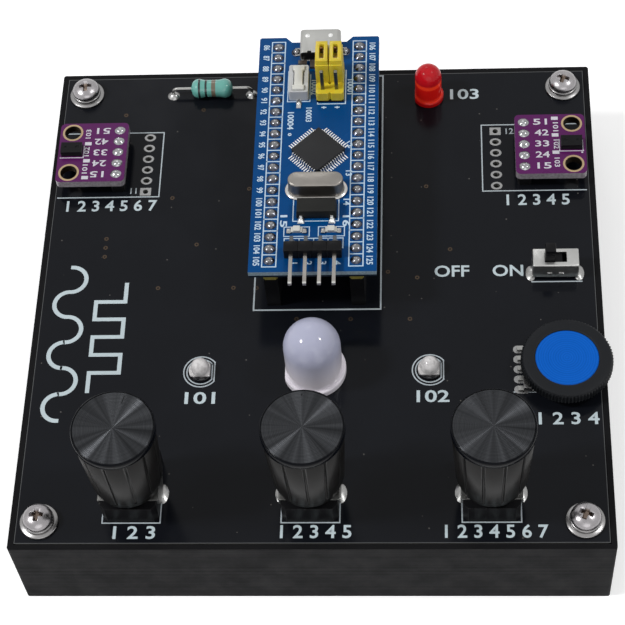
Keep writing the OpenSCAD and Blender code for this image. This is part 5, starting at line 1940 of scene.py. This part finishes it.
class THEREMIN_OT_lamps(bpy.types.Operator):
    """Models the red, the milky and the two clear lamps"""

    bl_idname = "theremin.lamps"
    bl_label = "Lamps"

    def execute(self, context):
        make_lamps()
        return {"FINISHED"}


class THEREMIN_OT_inductor(bpy.types.Operator):
    """Models the lacquered inductor"""

    bl_idname = "theremin.inductor"
    bl_label = "Inductor"

    def execute(self, context):
        make_inductor()
        return {"FINISHED"}


class THEREMIN_OT_slide_switch(bpy.types.Operator):
    """Models the folded cover and the slider of the switch"""

    bl_idname = "theremin.slide_switch"
    bl_label = "Slide switch"

    def execute(self, context):
        make_switch_shell()
        make_slider()
        return {"FINISHED"}


class THEREMIN_OT_lid_print(bpy.types.Operator):
    """Prints the numbers, the two waves and the outlines on the lid board"""

    bl_idname = "theremin.lid_print"
    bl_label = "Lid print"

    def execute(self, context):
        print_lid()
        return {"FINISHED"}


class THEREMIN_OT_lid_pads(bpy.types.Operator):
    """Adds the pads, vias and solder of the lid board"""

    bl_idname = "theremin.lid_pads"
    bl_label = "Lid pads"

    def execute(self, context):
        plate_lid()
        return {"FINISHED"}


class THEREMIN_OT_controller_print(bpy.types.Operator):
    """Prints the ladders, outlines and numbers on the controller board"""

    bl_idname = "theremin.controller_print"
    bl_label = "Controller print"

    def execute(self, context):
        print_controller()
        return {"FINISHED"}


class THEREMIN_OT_controller_solder(bpy.types.Operator):
    """Adds the solder joints of the controller board, its chip with the leads, its small crystal and its
    pin strip"""

    bl_idname = "theremin.controller_solder"
    bl_label = "Controller solder"

    def execute(self, context):
        solder_controller()
        make_processor()
        make_leads()
        make_clock()
        make_debug_header()
        return {"FINISHED"}


class THEREMIN_OT_sensor_boards(bpy.types.Operator):
    """Adds solder, plated rings and print to the two sensor boards"""

    bl_idname = "theremin.sensor_boards"
    bl_label = "Sensor boards"

    def execute(self, context):
        dress_sensors()
        return {"FINISHED"}


OPERATORS = [
    THEREMIN_OT_stage,
    THEREMIN_OT_frame_finishes,
    THEREMIN_OT_knobs,
    THEREMIN_OT_thumb_wheel,
    THEREMIN_OT_screws,
    THEREMIN_OT_jumpers,
    THEREMIN_OT_usb_socket,
    THEREMIN_OT_crystal,
    THEREMIN_OT_reset_key,
    THEREMIN_OT_lamps,
    THEREMIN_OT_inductor,
    THEREMIN_OT_slide_switch,
    THEREMIN_OT_lid_print,
    THEREMIN_OT_lid_pads,
    THEREMIN_OT_controller_print,
    THEREMIN_OT_controller_solder,
    THEREMIN_OT_sensor_boards,
]


class THEREMIN_PT_tools(bpy.types.Panel):
    """Lists the steps in the sidebar"""

    bl_label = "Theremin"
    bl_idname = "THEREMIN_PT_tools"
    bl_space_type = "VIEW_3D"
    bl_region_type = "UI"
    bl_category = "Theremin"

    def draw(self, context):
        for operator in OPERATORS:
            self.layout.operator(operator.bl_idname)
        for settings in (sizes(), hues(), stage_settings()):
            for key in settings.__annotations__:
                self.layout.prop(settings, key)


CLASSES = [ThereminSizes, ThereminColours, ThereminStage, *OPERATORS, THEREMIN_PT_tools]


def register():
    for item in CLASSES:
        bpy.utils.register_class(item)
    bpy.types.Scene.theremin_sizes = bpy.props.PointerProperty(type=ThereminSizes)
    bpy.types.Scene.theremin_colours = bpy.props.PointerProperty(type=ThereminColours)
    bpy.types.Scene.theremin_stage = bpy.props.PointerProperty(type=ThereminStage)


def unregister():
    del bpy.types.Scene.theremin_stage
    del bpy.types.Scene.theremin_colours
    del bpy.types.Scene.theremin_sizes
    for item in reversed(CLASSES):
        bpy.utils.unregister_class(item)


def main():
    register()
    clear_selection()
    for operator in OPERATORS:
        group_name, action = operator.bl_idname.split(".")
        getattr(getattr(bpy.ops, group_name), action)()
    clear_selection()


if __name__ == "__main__":
    main()
